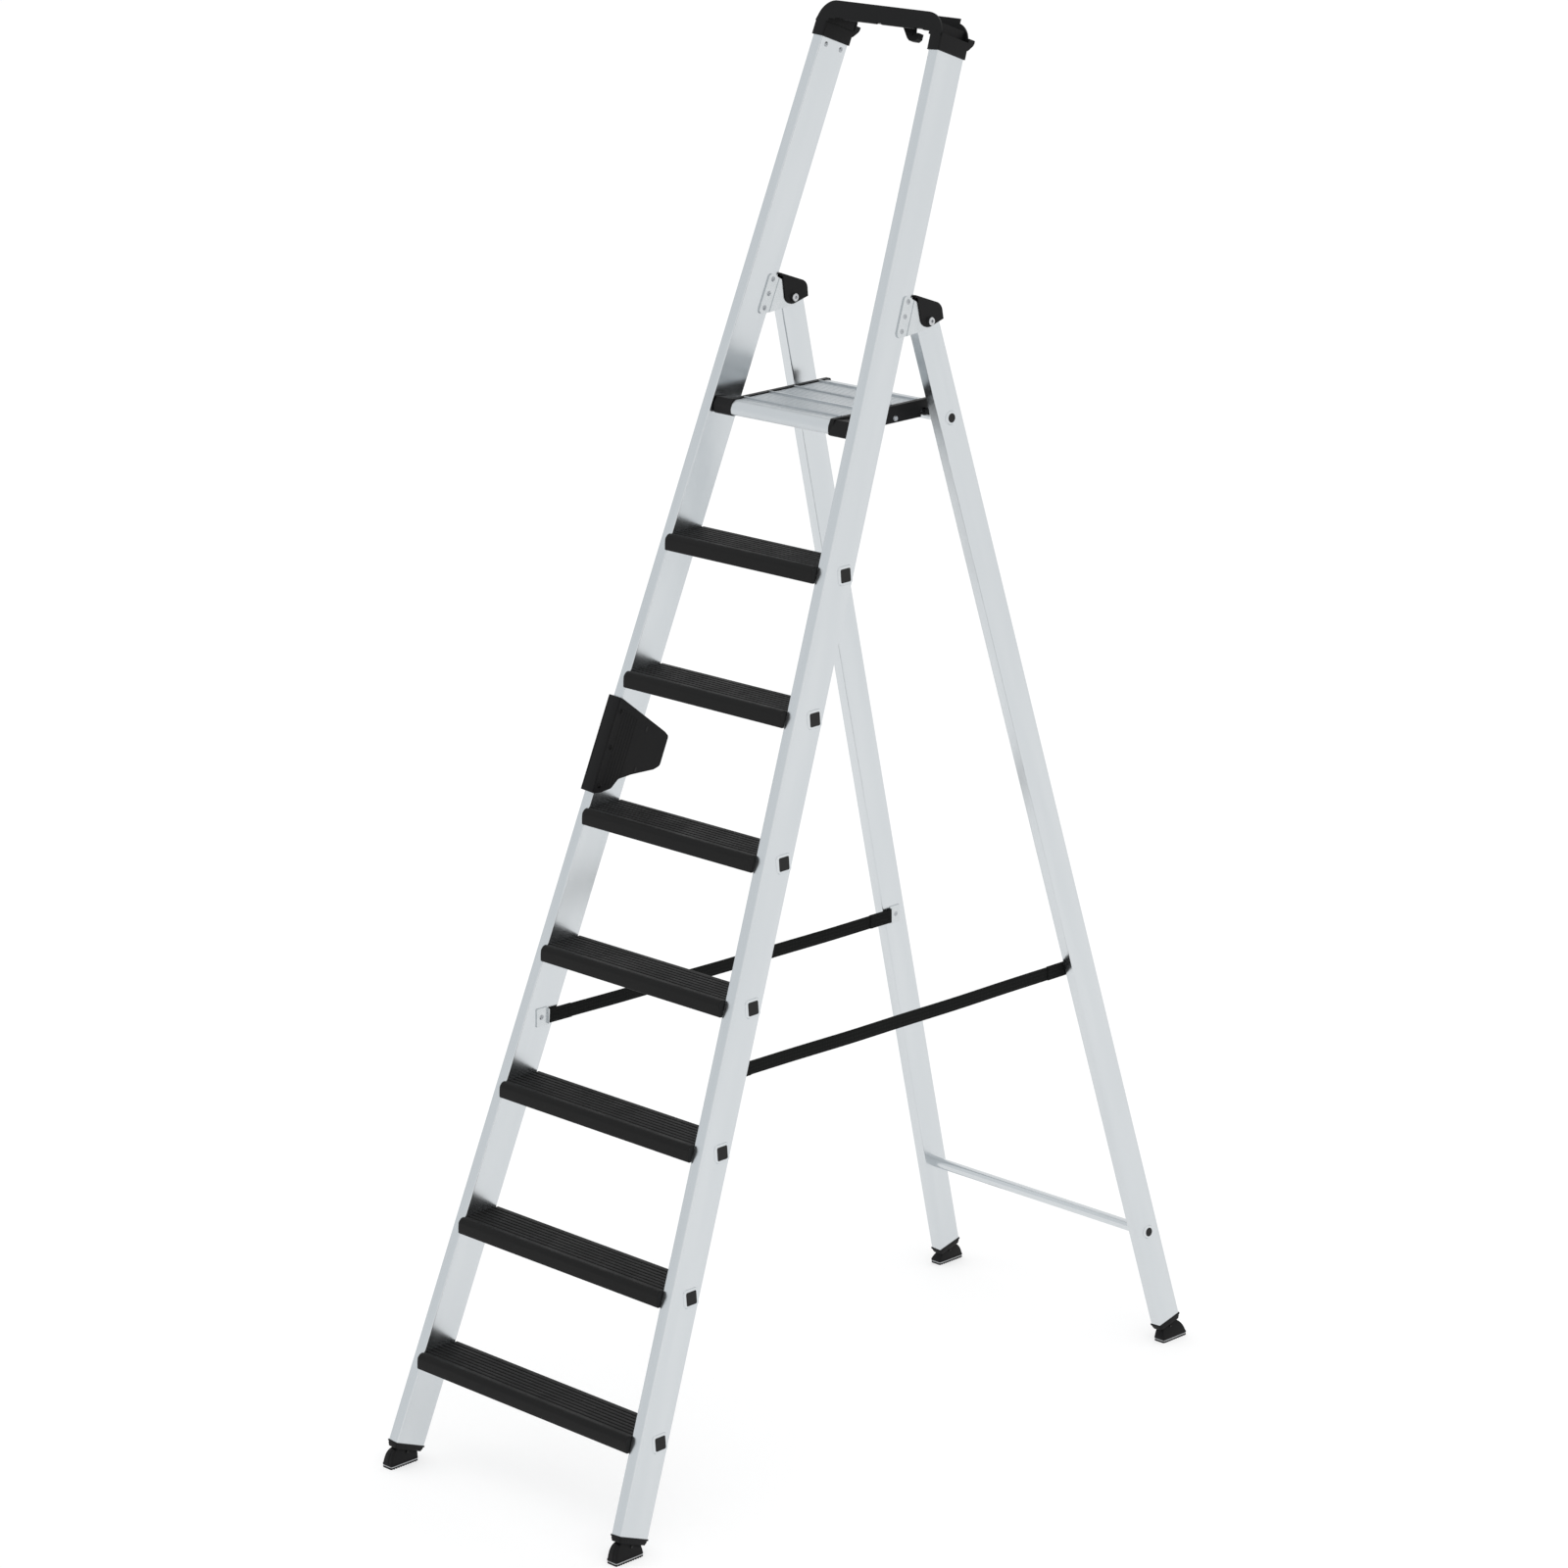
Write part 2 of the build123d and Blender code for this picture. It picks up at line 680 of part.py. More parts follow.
def make_bracket(face, reach):
    """Flat plate on a face, standing upright, with its rivet hole; reach is the strap's side."""
    height, length = bracket_size
    with BuildPart() as bracket:
        with BuildSketch(face):
            with Locations((reach * (length / 2 - 10.6), 0)):
                RectangleRounded(length, height, 2.0)
            Circle(rivet_radius, mode=Mode.SUBTRACT)
        extrude(amount=bracket_thick)
        with BuildSketch(face.offset(bracket_thick)):
            with Locations((reach * (length - 11.6), 0)):
                Rectangle(2.0, height - 6.0)
        extrude(amount=4.0)
    return bracket.part


front_bracket = make_bracket(turned(bracket_face), 1)
rear_bracket = make_bracket(turned(rear_bracket_face), -1)

with BuildPart() as strap_brackets_front:
    add(front_bracket)
    mirror(front_bracket, about=Plane.YZ)
save(strap_brackets_front, "strap_brackets_front")

with BuildPart() as strap_brackets_rear:
    add(rear_bracket)
    mirror(rear_bracket, about=Plane.YZ)
save(strap_brackets_rear, "strap_brackets_rear")

with BuildPart() as strap_rivets_rear:
    seat = turned(rear_bracket_face).offset(bracket_thick)
    for place in (seat, across(seat)):
        add(plate_rivet.moved(place.location))
save(strap_rivets_rear, "strap_rivets_rear")

strap_start = Vector(bracket_face.origin.X - 5.2, -356.6, 767.6)
strap_stop = Vector(rear_bracket_face.origin.X - 5.2, 483.9, 756.3)
strap_run = strap_stop - strap_start

with BuildPart() as strap_right:
    strap_plane = Plane(origin=strap_start, x_dir=(1, 0, 0), z_dir=strap_run)
    with BuildSketch(strap_plane):
        Rectangle(strap_thick, strap_height)
    extrude(amount=strap_run.length)
    for distance in (0, strap_run.length - strap_end_length):
        with BuildSketch(strap_plane.offset(distance)):
            Rectangle(strap_end_thick, strap_height + 1.0)
        extrude(amount=strap_end_length)
save(strap_right, "strap_right")

with BuildPart() as strap_left:
    mirror(strap_right.part, about=Plane.YZ)
save(strap_left, "strap_left")

# ---------------------------------------------------------------- carry grip, on the left stile
grip_thick = 3.2
left_inner = across(inner_face)
grip_inside = Plane(origin=left_inner.origin, x_dir=-left_inner.x_dir, z_dir=-left_inner.z_dir)
left_side = across(side)

with BuildPart() as grip_block:
    with BuildSketch(placed(side, Plane.YZ.offset(-stile_width - grip_thick))):
        with BuildLine():
            Polyline(
                (-7.0, 1370.0),
                (-4.0, 1370.0),
                (118.0, 1333.0),
            )
            ThreePointArc((118.0, 1333.0), (127.0, 1329.0), (132.0, 1320.0))
            Polyline(
                (132.0, 1320.0),
                (133.0, 1275.0),
            )
            ThreePointArc((133.0, 1275.0), (131.0, 1267.0), (124.0, 1263.0))
            Polyline(
                (124.0, 1263.0),
                (72.0, 1244.0),
                (46.0, 1231.0),
                (36.0, 1214.0),
                (22.0, 1204.0),
                (0.0, 1198.0),
                (-7.0, 1198.0),
                (-7.0, 1370.0),
            )
        make_face()
    extrude(amount=grip_thick + stile_width + 4.5)

with BuildPart() as grip_void:
    with BuildSketch(placed(side, Plane.YZ.offset(-stile_width))):
        with Locations((-0.05 + 100.0, 1285.0)):
            Rectangle(200.0, 300.0)
    extrude(amount=stile_width + 20.0)

with BuildPart() as grip_lip:
    with BuildSketch(placed(side, Plane.YZ.offset(0.1))):
        with Locations((3.5, 1284.0)):
            Rectangle(9.0, 172.0)
    extrude(amount=4.4)

with BuildPart() as grip_right_handed:
    add(grip_block.part)
    add(grip_void.part, mode=Mode.SUBTRACT)
    add(grip_lip.part)
    with BuildSketch(placed(side, Plane.YZ.offset(-stile_width - grip_thick))):
        with Locations((34.0, 1287.0)):
            with GridLocations(9.0, 0, 4, 1):
                Rectangle(2.4, 62.0)
    extrude(amount=-1.0)
    with BuildSketch(placed(side, Plane.YZ.offset(-stile_width - grip_thick))):
        with Locations(*grip_rivets):
            Circle(rivet_radius)
    extrude(amount=grip_thick + 1.0, mode=Mode.SUBTRACT)

with BuildPart() as carry_grip:
    mirror(grip_right_handed.part, about=Plane.YZ)
save(carry_grip, "carry_grip")

grip_rivet = make_rivet(grip_thick + stile_wall)

with BuildPart() as grip_rivet_group:
    grip_seat = turned(placed(side, Plane.YZ.offset(-stile_width - grip_thick)))
    for v, t in grip_rivets:
        place = across(at_point(grip_seat, (v, -t)))
        add(grip_rivet.moved(place.location))
save(grip_rivet_group, "carry_grip_rivets")

# ---------------------------------------------------------------- platform
rail_bottom = 1797.0
rail_top = 1827.0
rail_rear_y = platform_rear_y + 9.0
slot_front = 14.0
slot_rear = 10.6
block_inner = 122.0
block_outer = 165.5

with BuildPart() as platform_plate:
    with BuildSketch(Plane.YZ.offset(-platform_half)):
        with BuildLine():
            Polyline(
                (platform_rear_y, platform_top),
                (platform_rear_y, platform_top - 10.0),
                (platform_rear_y - 2.2, platform_top - 10.0),
                (platform_rear_y - 2.2, platform_top - 2.8),
                (29.0, platform_top - 2.8),
                (21.0, 1815.0),
                (18.5, 1802.5),
                (26.0, 1802.5),
                (26.0, 1800.0),
                (16.0, 1800.0),
                (13.8, 1802.0),
            )
            ThreePointArc((13.8, 1802.0), (14.5, 1815.0), (21.5, 1823.6))
            Polyline(
                (21.5, 1823.6),
                (25.0, platform_top),
                (platform_rear_y, platform_top),
            )
        make_face()
        with Locations((136.0, platform_top)):
            with GridLocations(8.0, 0, 26, 1):
                Rectangle(2.6, 1.4, mode=Mode.SUBTRACT)
        with Locations((136.0, platform_top - 2.8)):
            with GridLocations(60.0, 0, 4, 1):
                Rectangle(2.0, 12.0)
    extrude(amount=2 * platform_half)
save(platform_plate, "platform_plate")

with BuildPart() as platform_rail_right:
    with BuildSketch(Plane.YZ.offset(platform_half)):
        with BuildLine():
            Polyline(
                (20.0, rail_top),
                (rail_rear_y - 2.0, rail_top),
                (rail_rear_y, rail_top - 2.0),
                (rail_rear_y, rail_bottom),
                (support.Y + slot_rear, rail_bottom),
                (support.Y + slot_rear, support.Z + 6.0),
                (support.Y + 6.0, support.Z + 10.8),
                (support.Y - slot_front + 4.6, support.Z + 10.8),
                (support.Y - slot_front, support.Z + 6.0),
                (support.Y - slot_front, rail_bottom),
                (18.0, rail_bottom),
                (13.4, rail_bottom + 3.0),
                (13.8, 1815.0),
                (20.0, rail_top),
            )
        make_face()
    extrude(amount=platform_rail)
    with BuildSketch(Plane.YZ.offset(platform_half + platform_rail)):
        with BuildLine():
            Polyline(
                (22.0, rail_top - 1.0),
                (48.0, rail_top - 4.0),
                (52.0, rail_bottom + 6.0),
                (46.0, rail_bottom),
                (18.0, rail_bottom),
                (13.4, rail_bottom + 3.0),
                (13.8, 1815.0),
                (22.0, rail_top - 1.0),
            )
        make_face()
    extrude(amount=block_outer - platform_half - platform_rail)
    with BuildSketch(cross_section(pivot_point)):
        Circle(bolt_radius + 0.1)
    extrude(amount=hinge.X, mode=Mode.SUBTRACT)
    with BuildSketch(Plane.YZ.offset(platform_half)):
        with Locations((165.0, 1804.5)):
            Circle(2.5)
    extrude(amount=platform_rail, mode=Mode.SUBTRACT)
save(platform_rail_right, "platform_rail_right")

with BuildPart() as platform_rail_left:
    mirror(platform_rail_right.part, about=Plane.YZ)
save(platform_rail_left, "platform_rail_left")

with BuildPart() as rail_screw:
    with BuildSketch(Plane.YZ.offset(platform_half + 0.4)):
        with Locations((165.0, 1804.5)):
            Circle(2.5)
    extrude(amount=platform_rail - 0.4)
    with BuildSketch(Plane.YZ.offset(platform_half + platform_rail)):
        with Locations((165.0, 1804.5)):
            Circle(5.0)
    extrude(amount=2.4, taper=25)

with BuildPart() as platform_screws:
    add(rail_screw.part)
    mirror(rail_screw.part, about=Plane.YZ)
save(platform_screws, "platform_screws")

with BuildPart() as platform_pin:
    with BuildSketch(cross_section(pivot_point).offset(platform_half + platform_rail + 6.0)):
        Circle(bolt_radius)
    extrude(amount=60.0)
    with BuildSketch(cross_section(pivot_point).offset(block_outer + 0.4)):
        Circle(8.0)
    extrude(amount=20.0)
    split(bisect_by=inner_face, keep=Keep.BOTTOM)
    with BuildSketch(cross_section(pivot_point).offset(block_outer)):
        Circle(bolt_radius)
    extrude(amount=on_face(inner_face, pivot_point).origin.X + stile_wall - block_outer)

with BuildPart() as platform_pins:
    add(platform_pin.part)
    mirror(platform_pin.part, about=Plane.YZ)
save(platform_pins, "platform_pins")


# ---------------------------------------------------------------- feet
def make_socket(end, width, depth, wall):
    """Plastic end cap in a tube's lower end, with a groove and two ears for the foot's head."""
    ear = foot_head_half + 0.3
    pivot = end.from_local_coords(Vector(0, 0, -foot_pivot_drop))
    axle = Plane(origin=pivot, x_dir=(0, 1, 0), z_dir=(1, 0, 0))
    with BuildPart() as socket:
        with BuildSketch(end):
            RectangleRounded(width - 2 * wall, depth - 2 * wall, 1.0)
        extrude(amount=28.0)
        with BuildSketch(end.offset(-2.6)):
            RectangleRounded(width + 2.6, depth + 2.6, 3.0)
        extrude(amount=2.6)
        with BuildSketch(end.offset(-8.0)):
            RectangleRounded(width - 1.0, depth - 2.0, 3.0)
        extrude(amount=5.4)
        with BuildSketch(end.offset(-foot_pivot_drop)):
            Rectangle(width - 1.0, 12.0)
        extrude(amount=foot_pivot_drop - 8.0)
        with BuildSketch(axle):
            Circle(ear_radius)
        extrude(amount=width / 2 - 0.5, both=True)
        with BuildSketch(axle.offset(-ear)):
            Circle(foot_head_radius + 0.4)
        extrude(amount=2 * ear, mode=Mode.SUBTRACT)
        with BuildSketch(axle):
            Circle(foot_pin_radius)
        extrude(amount=width, both=True, mode=Mode.SUBTRACT)
    return socket.part


def make_foot(pivot, centre_x, sign, high, low):
    """Tilting foot: a round head in the socket over a wedge that widens down to the sole."""
    base_z = sole_height + liner_height
    toe = sign * (foot_centre_y + foot_length / 2) - pivot.Y
    heel = sign * (foot_centre_y - foot_length / 2) - pivot.Y
    shoulder = pivot.Z + abs(toe) * 0.5 * tan(radians(high))
    axle = Plane(origin=pivot, x_dir=(0, 1, 0), z_dir=(1, 0, 0))
    with BuildPart() as foot:
        with BuildSketch(Plane(origin=(centre_x, pivot.Y, 0), x_dir=(0, 1, 0), z_dir=(1, 0, 0))):
            with BuildLine():
                Polyline(
                    (toe * 0.5, shoulder),
                    (0, pivot.Z - 1.0),
                    (heel * 0.55, pivot.Z - abs(heel) * 0.55 * tan(radians(low))),
                    (heel, base_z + 3.2),
                    (heel, base_z),
                    (toe, base_z),
                    (toe, base_z + 5.0),
                )
                ThreePointArc(
                    (toe, base_z + 5.0),
                    (toe * 0.82, base_z + 0.62 * (shoulder - base_z)),
                    (toe * 0.5, shoulder),
                )
            make_face()
        extrude(amount=foot_width / 2 - 1.2, both=True)
        with BuildSketch(Plane.XY.offset(base_z)):
            with Locations((centre_x, sign * foot_centre_y)):
                RectangleRounded(foot_width, foot_length, 4.0)
        extrude(amount=3.0)
        for face in (axle.offset(foot_head_half), turned(axle).offset(foot_head_half)):
            with BuildSketch(face):
                Circle(ear_radius + 1.9)
            extrude(amount=foot_width, mode=Mode.SUBTRACT)
        with BuildSketch(axle):
            Circle(foot_head_radius)
        extrude(amount=foot_head_half, both=True)
        with BuildSketch(axle):
            Circle(foot_pin_radius + 0.05)
        extrude(amount=foot_width, both=True, mode=Mode.SUBTRACT)
    return foot.part


def make_liner(centre_x, sign):
    """Thin grey layer between the foot and its rubber sole."""
    with BuildPart() as liner:
        with BuildSketch(Plane.XY.offset(sole_height)):
            with Locations((centre_x, sign * foot_centre_y)):
                RectangleRounded(foot_width - 0.6, foot_length - 0.6, 4.0)
        extrude(amount=liner_height)
    return liner.part


def make_sole(centre_x, sign):
    """Rubber sole with cross ribs."""
    with BuildPart() as sole:
        with BuildSketch(Plane.XY):
            with Locations((centre_x, sign * foot_centre_y)):
                RectangleRounded(foot_width, foot_length, 4.0)
        extrude(amount=sole_height)
        with BuildSketch(Plane.XY):
            with Locations((centre_x, sign * foot_centre_y)):
                with GridLocations(0, 5.4, 1, 11):
                    Rectangle(foot_width + 2.0, 2.4)
        extrude(amount=rib_height, mode=Mode.SUBTRACT)
    return sole.part


def make_pin(pivot, width):
    """Steel pin through the socket's ears and the foot's head."""
    with BuildPart() as pin:
        with BuildSketch(Plane(origin=pivot, x_dir=(0, 1, 0), z_dir=(1, 0, 0))):
            Circle(foot_pin_radius)
        extrude(amount=width / 2 - 0.8, both=True)
    return pin.part


def save_pair(shape, name):
    """One node with the right-hand piece and its mirror image."""
    with BuildPart() as pair:
        add(shape)
        mirror(shape, about=Plane.YZ)
    save(pair, name)


def save_sides(shape, name):
    """Two nodes, the right-hand piece and its mirror image."""
    with BuildPart() as right_piece:
        add(shape)
    save(right_piece, f"{name}_right")
    with BuildPart() as left_piece:
        mirror(shape, about=Plane.YZ)
    save(left_piece, f"{name}_left")


stile_end = placed(side, Plane(origin=(-stile_width / 2, stile_depth / 2, 0)))
leg_end = placed(leg, Plane(origin=(0, 0, -leg_length)))
front_pivot = stile_end.from_local_coords(Vector(0, 0, -foot_pivot_drop))
rear_pivot = leg_end.from_local_coords(Vector(0, 0, -foot_pivot_drop))

save_pair(make_socket(stile_end, stile_width, stile_depth, stile_wall), "foot_sockets_front")
save_pair(make_pin(front_pivot, stile_width), "foot_pins_front")
save_sides(make_foot(front_pivot, front_foot_x, -1, 28.0, 11.0), "foot_front")
save_sides(make_liner(front_foot_x, -1), "foot_liner_front")
save_sides(make_sole(front_foot_x, -1), "foot_sole_front")

save_pair(make_socket(leg_end, leg_width, leg_depth, leg_wall), "foot_sockets_rear")
save_pair(make_pin(rear_pivot, leg_width), "foot_pins_rear")
save_sides(make_foot(rear_pivot, rear_foot_x, 1, 24.0, 3.0), "foot_rear")
save_sides(make_liner(rear_foot_x, 1), "foot_liner_rear")
save_sides(make_sole(rear_foot_x, 1), "foot_sole_rear")
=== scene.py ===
from math import cos, pi, radians, sin, tan

import bmesh
import bpy
from mathutils import Matrix, Vector, geometry


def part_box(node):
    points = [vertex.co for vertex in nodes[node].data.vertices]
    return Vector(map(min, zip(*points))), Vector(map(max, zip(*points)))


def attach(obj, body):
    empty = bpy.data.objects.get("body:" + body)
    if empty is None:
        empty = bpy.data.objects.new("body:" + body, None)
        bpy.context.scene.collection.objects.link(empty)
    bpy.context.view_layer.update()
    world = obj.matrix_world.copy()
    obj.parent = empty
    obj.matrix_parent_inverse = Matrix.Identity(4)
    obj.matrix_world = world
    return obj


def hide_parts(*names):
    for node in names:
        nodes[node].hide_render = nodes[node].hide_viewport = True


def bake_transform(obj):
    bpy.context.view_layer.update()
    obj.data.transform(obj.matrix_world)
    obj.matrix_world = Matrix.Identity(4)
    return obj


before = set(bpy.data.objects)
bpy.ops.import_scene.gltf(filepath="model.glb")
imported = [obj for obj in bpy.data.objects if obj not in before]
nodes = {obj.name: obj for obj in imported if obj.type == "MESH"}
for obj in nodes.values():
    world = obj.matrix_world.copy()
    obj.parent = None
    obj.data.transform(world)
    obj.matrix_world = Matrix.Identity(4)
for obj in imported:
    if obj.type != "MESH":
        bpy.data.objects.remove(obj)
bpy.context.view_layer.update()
MM = 0.001

# The ladder's two leaning frames, with the same numbers as the CAD model, in metres.
FRONT_LEAN = radians(21.95)
REAR_LEAN = radians(13.8)
FLARE = radians(3.4)
STILE_W, STILE_D = 23.0 * MM, 66.0 * MM
LEG_W = 22.6 * MM
STILE_END = Vector((305.4, -699.6, 49.9)) * MM


def tilt(lean):
    """Across, backwards and upwards directions of the right-hand stile or leg."""
    x = Vector((cos(FLARE), sin(FLARE) * sin(lean), sin(FLARE) * cos(lean)))
    y = Vector((0, cos(lean), -sin(lean)))
    z = Vector((-sin(FLARE), cos(FLARE) * sin(lean), cos(FLARE) * cos(lean)))
    return x, y, z


def stile_point(s, v, t, side=1):
    """A point beside a stile: s out of its outer face, v backwards, t up along it."""
    x, y, z = tilt(FRONT_LEAN)
    p = STILE_END + x * s + y * v + z * t
    return Vector((p.x * side, p.y, p.z))


# Where the rear frame's pivot line passes the middle of the right stile's width.
HINGE = stile_point(-STILE_W / 2, 113.0 * MM, 2127.0 * MM)


def plane_x(s, y, z):
    """X of the plane at s beside the right stile, where it meets a line along X."""
    n = tilt(FRONT_LEAN)[0]
    return STILE_END.x + (s - n.y * (y - STILE_END.y) - n.z * (z - STILE_END.z)) / n.x


# ---------------------------------------------------------------- materials
def nodes_of(name):
    """A new material, its node tree and its shader."""
    m = bpy.data.materials.new(name)
    m.use_nodes = True
    t = m.node_tree
    return m, t, t.nodes["Principled BSDF"]


def noise(t, coords, scale, detail=3.0, rough=0.5):
    """Noise factor over the given coordinates."""
    n = t.nodes.new("ShaderNodeTexNoise")
    n.inputs["Scale"].default_value = scale
    n.inputs["Detail"].default_value = detail
    n.inputs["Roughness"].default_value = rough
    t.links.new(coords, n.inputs["Vector"])
    return n.outputs["Fac"]


def ramp(t, fac, lo, hi, at=(0.3, 0.7)):
    """Maps a factor to a value or a colour between lo and hi."""
    if isinstance(lo, tuple):
        r = t.nodes.new("ShaderNodeValToRGB")
        r.color_ramp.elements[0].position, r.color_ramp.elements[1].position = at
        r.color_ramp.elements[0].color = (*lo, 1)
        r.color_ramp.elements[1].color = (*hi, 1)
        t.links.new(fac, r.inputs["Fac"])
        return r.outputs["Color"]
    r = t.nodes.new("ShaderNodeMapRange")
    for key, value in zip(("From Min", "From Max", "To Min", "To Max"), (*at, lo, hi)):
        r.inputs[key].default_value = value
    t.links.new(fac, r.inputs["Value"])
    return r.outputs["Result"]


def bump(t, bsdf, height, distance, strength):
    """Fine relief, distance in metres."""
    b = t.nodes.new("ShaderNodeBump")
    b.inputs["Strength"].default_value = strength
    b.inputs["Distance"].default_value = distance
    t.links.new(height, b.inputs["Height"])
    t.links.new(b.outputs["Normal"], bsdf.inputs["Normal"])


def local_coords(t, rotation=(0, 0, 0), scale=(1, 1, 1)):
    """The piece's own coordinates, turned and then scaled."""
    c = t.nodes.new("ShaderNodeTexCoord")
    turn = t.nodes.new("ShaderNodeMapping")
    turn.inputs["Rotation"].default_value = rotation
    t.links.new(c.outputs["Object"], turn.inputs["Vector"])
    size = t.nodes.new("ShaderNodeMapping")
    size.inputs["Scale"].default_value = scale
    t.links.new(turn.outputs["Vector"], size.inputs["Vector"])
    return size.outputs["Vector"]


ALUMINIUM_DULL = (0.615, 0.645, 0.665)
ALUMINIUM_BRIGHT = (0.645, 0.672, 0.69)


def extruded(name, rotation=(0, 0, 0), along="Z", rough=(0.20, 0.25)):
    """Satin extruded aluminium: fine die lines along the profile and faint clouding."""
    m, t, bsdf = nodes_of(name)
    fine = {"X": (4, 900, 900), "Y": (900, 4, 900), "Z": (900, 900, 4)}[along]
    wide = {"X": (2, 30, 30), "Y": (30, 2, 30), "Z": (30, 30, 2)}[along]
    lines = noise(t, local_coords(t, rotation, fine), 1.0, 2.0)
    bands = noise(t, local_coords(t, rotation, wide), 1.0, 2.0)
    smudge = noise(t, local_coords(t), 14.0, 4.0, 0.6)
    bsdf.inputs["Metallic"].default_value = 1.0
    t.links.new(ramp(t, bands, ALUMINIUM_DULL, ALUMINIUM_BRIGHT), bsdf.inputs["Base Color"])
    mix = t.nodes.new("ShaderNodeMath")
    mix.operation = "ADD"
    t.links.new(ramp(t, lines, -0.012, 0.012), mix.inputs[0])
    t.links.new(ramp(t, smudge, *rough), mix.inputs[1])
    t.links.new(mix.outputs[0], bsdf.inputs["Roughness"])
    bump(t, bsdf, lines, 0.000006, 0.35)
    return m


def moulded(name, lo, hi, rough=(0.38, 0.55), grain=2600.0, depth=0.00004, level=0.25):
    """Injection-moulded plastic: spark-eroded grain, slight shade and gloss variation."""
    m, t, bsdf = nodes_of(name)
    coords = local_coords(t)
    grains = noise(t, coords, grain, 2.0)
    patches = noise(t, coords, 22.0, 4.0, 0.6)
    t.links.new(ramp(t, patches, lo, hi), bsdf.inputs["Base Color"])
    t.links.new(ramp(t, patches, *rough), bsdf.inputs["Roughness"])
    bsdf.inputs["Specular IOR Level"].default_value = level
    bump(t, bsdf, grains, depth, 0.6)
    return m


def plated(name, lo, hi, rough, scale=400.0):
    """Bright metal of a rivet, bolt or pressed plate, with tool marks."""
    m, t, bsdf = nodes_of(name)
    marks = noise(t, local_coords(t), scale, 3.0)
    clouds = noise(t, local_coords(t), 60.0, 3.0)
    bsdf.inputs["Metallic"].default_value = 1.0
    t.links.new(ramp(t, clouds, lo, hi), bsdf.inputs["Base Color"])
    t.links.new(ramp(t, marks, *rough), bsdf.inputs["Roughness"])
    bump(t, bsdf, marks, 0.000008, 0.3)
    return m


def woven(name, angle):
    """Flat polyester webbing: ribs across its width and rows of yarn along it."""
    m, t, bsdf = nodes_of(name)
    coords = local_coords(t, (angle, 0, 0))
    heights = []
    for direction, scale in (("Y", 520.0), ("Z", 300.0)):
        w = t.nodes.new("ShaderNodeTexWave")
        w.bands_direction = direction
        w.inputs["Scale"].default_value = scale / 6.2832
        w.inputs["Distortion"].default_value = 0.4
        t.links.new(coords, w.inputs["Vector"])
        heights.append(w.outputs["Fac"])
    mix = t.nodes.new("ShaderNodeMath")
    mix.operation = "MULTIPLY"
    t.links.new(heights[0], mix.inputs[0])
    t.links.new(heights[1], mix.inputs[1])
    yarn = ramp(t, mix.outputs[0], (0.0015, 0.002, 0.0018), (0.0055, 0.0062, 0.0055))
    t.links.new(yarn, bsdf.inputs["Base Color"])
    fuzz = noise(t, coords, 900.0, 3.0)
    t.links.new(ramp(t, fuzz, 0.75, 0.95), bsdf.inputs["Roughness"])
    bsdf.inputs["Specular IOR Level"].default_value = 0.2
    bump(t, bsdf, mix.outputs[0], 0.0004, 0.9)
    return m


stile_mat = {
    1: extruded("aluminium_stile_right", (FRONT_LEAN, 0, 0)),
    -1: extruded("aluminium_stile_left", (FRONT_LEAN, 0, 0)),
}
leg_mat = extruded("aluminium_leg", (-REAR_LEAN, 0, 0))
cross_mat = extruded("aluminium_across", along="X")
platform_mat = extruded("aluminium_platform", along="X", rough=(0.44, 0.52))
plate_mat = plated("pressed_plate", (0.59, 0.62, 0.635), (0.63, 0.655, 0.67), (0.24, 0.32))
rivet_mat = plated("rivet_metal", (0.36, 0.38, 0.40), (0.46, 0.48, 0.50), (0.25, 0.4), 900.0)
# Near-black rivet metal for the carry grip: painted shade for the dark holes the rivets sit in.
dark_rivet_mat = plated("rivet_painted_hole_shade", (0.010, 0.010, 0.010), (0.018, 0.018, 0.018), (0.4, 0.55), 900.0)
steel_mat = plated("bolt_steel", (0.42, 0.43, 0.45), (0.58, 0.59, 0.60), (0.18, 0.32), 700.0)
black_mat = moulded(
    "moulded_black", (0.003, 0.003, 0.0032), (0.0055, 0.0055, 0.006), (0.42, 0.58), level=0.16
)
tread_mat = moulded(
    "tread_black", (0.005, 0.005, 0.005), (0.009, 0.009, 0.009), (0.5, 0.65), 1800.0, 0.00006, 0.14
)
plug_mat = moulded("plug_black", (0.003, 0.003, 0.003), (0.006, 0.006, 0.006), (0.3, 0.42))
rubber_mat = moulded(
    "sole_rubber", (0.010, 0.010, 0.010), (0.020, 0.020, 0.020), (0.7, 0.9), 1200.0, 0.0001, 0.3
)
grey_mat = moulded("liner_grey", (0.36, 0.37, 0.38), (0.44, 0.45, 0.46), (0.4, 0.55))
webbing_mat = woven("webbing_black", 0.0134)
thread_mat = moulded(
    "stitching_black", (0.005, 0.005, 0.005), (0.010, 0.010, 0.010), (0.6, 0.8), 3000.0, 0.0001
)
bush_mat = moulded("bush_plastic", (0.50, 0.50, 0.47), (0.58, 0.58, 0.55), (0.35, 0.5))


# ---------------------------------------------------------------- mesh helpers
def finish_mesh(me, smooth=35):
    """Faces outward, shaded smooth, with edges sharper than the angle kept sharp."""
    me.validate()
    me.update()
    bm = bmesh.new()
    bm.from_mesh(me)
    bmesh.ops.recalc_face_normals(bm, faces=bm.faces)
    for f in bm.faces:
        f.smooth = True
    for e in bm.edges:
        if len(e.link_faces) == 2:
            e.smooth = e.calc_face_angle(0) < radians(smooth)
    bm.to_mesh(me)
    bm.free()


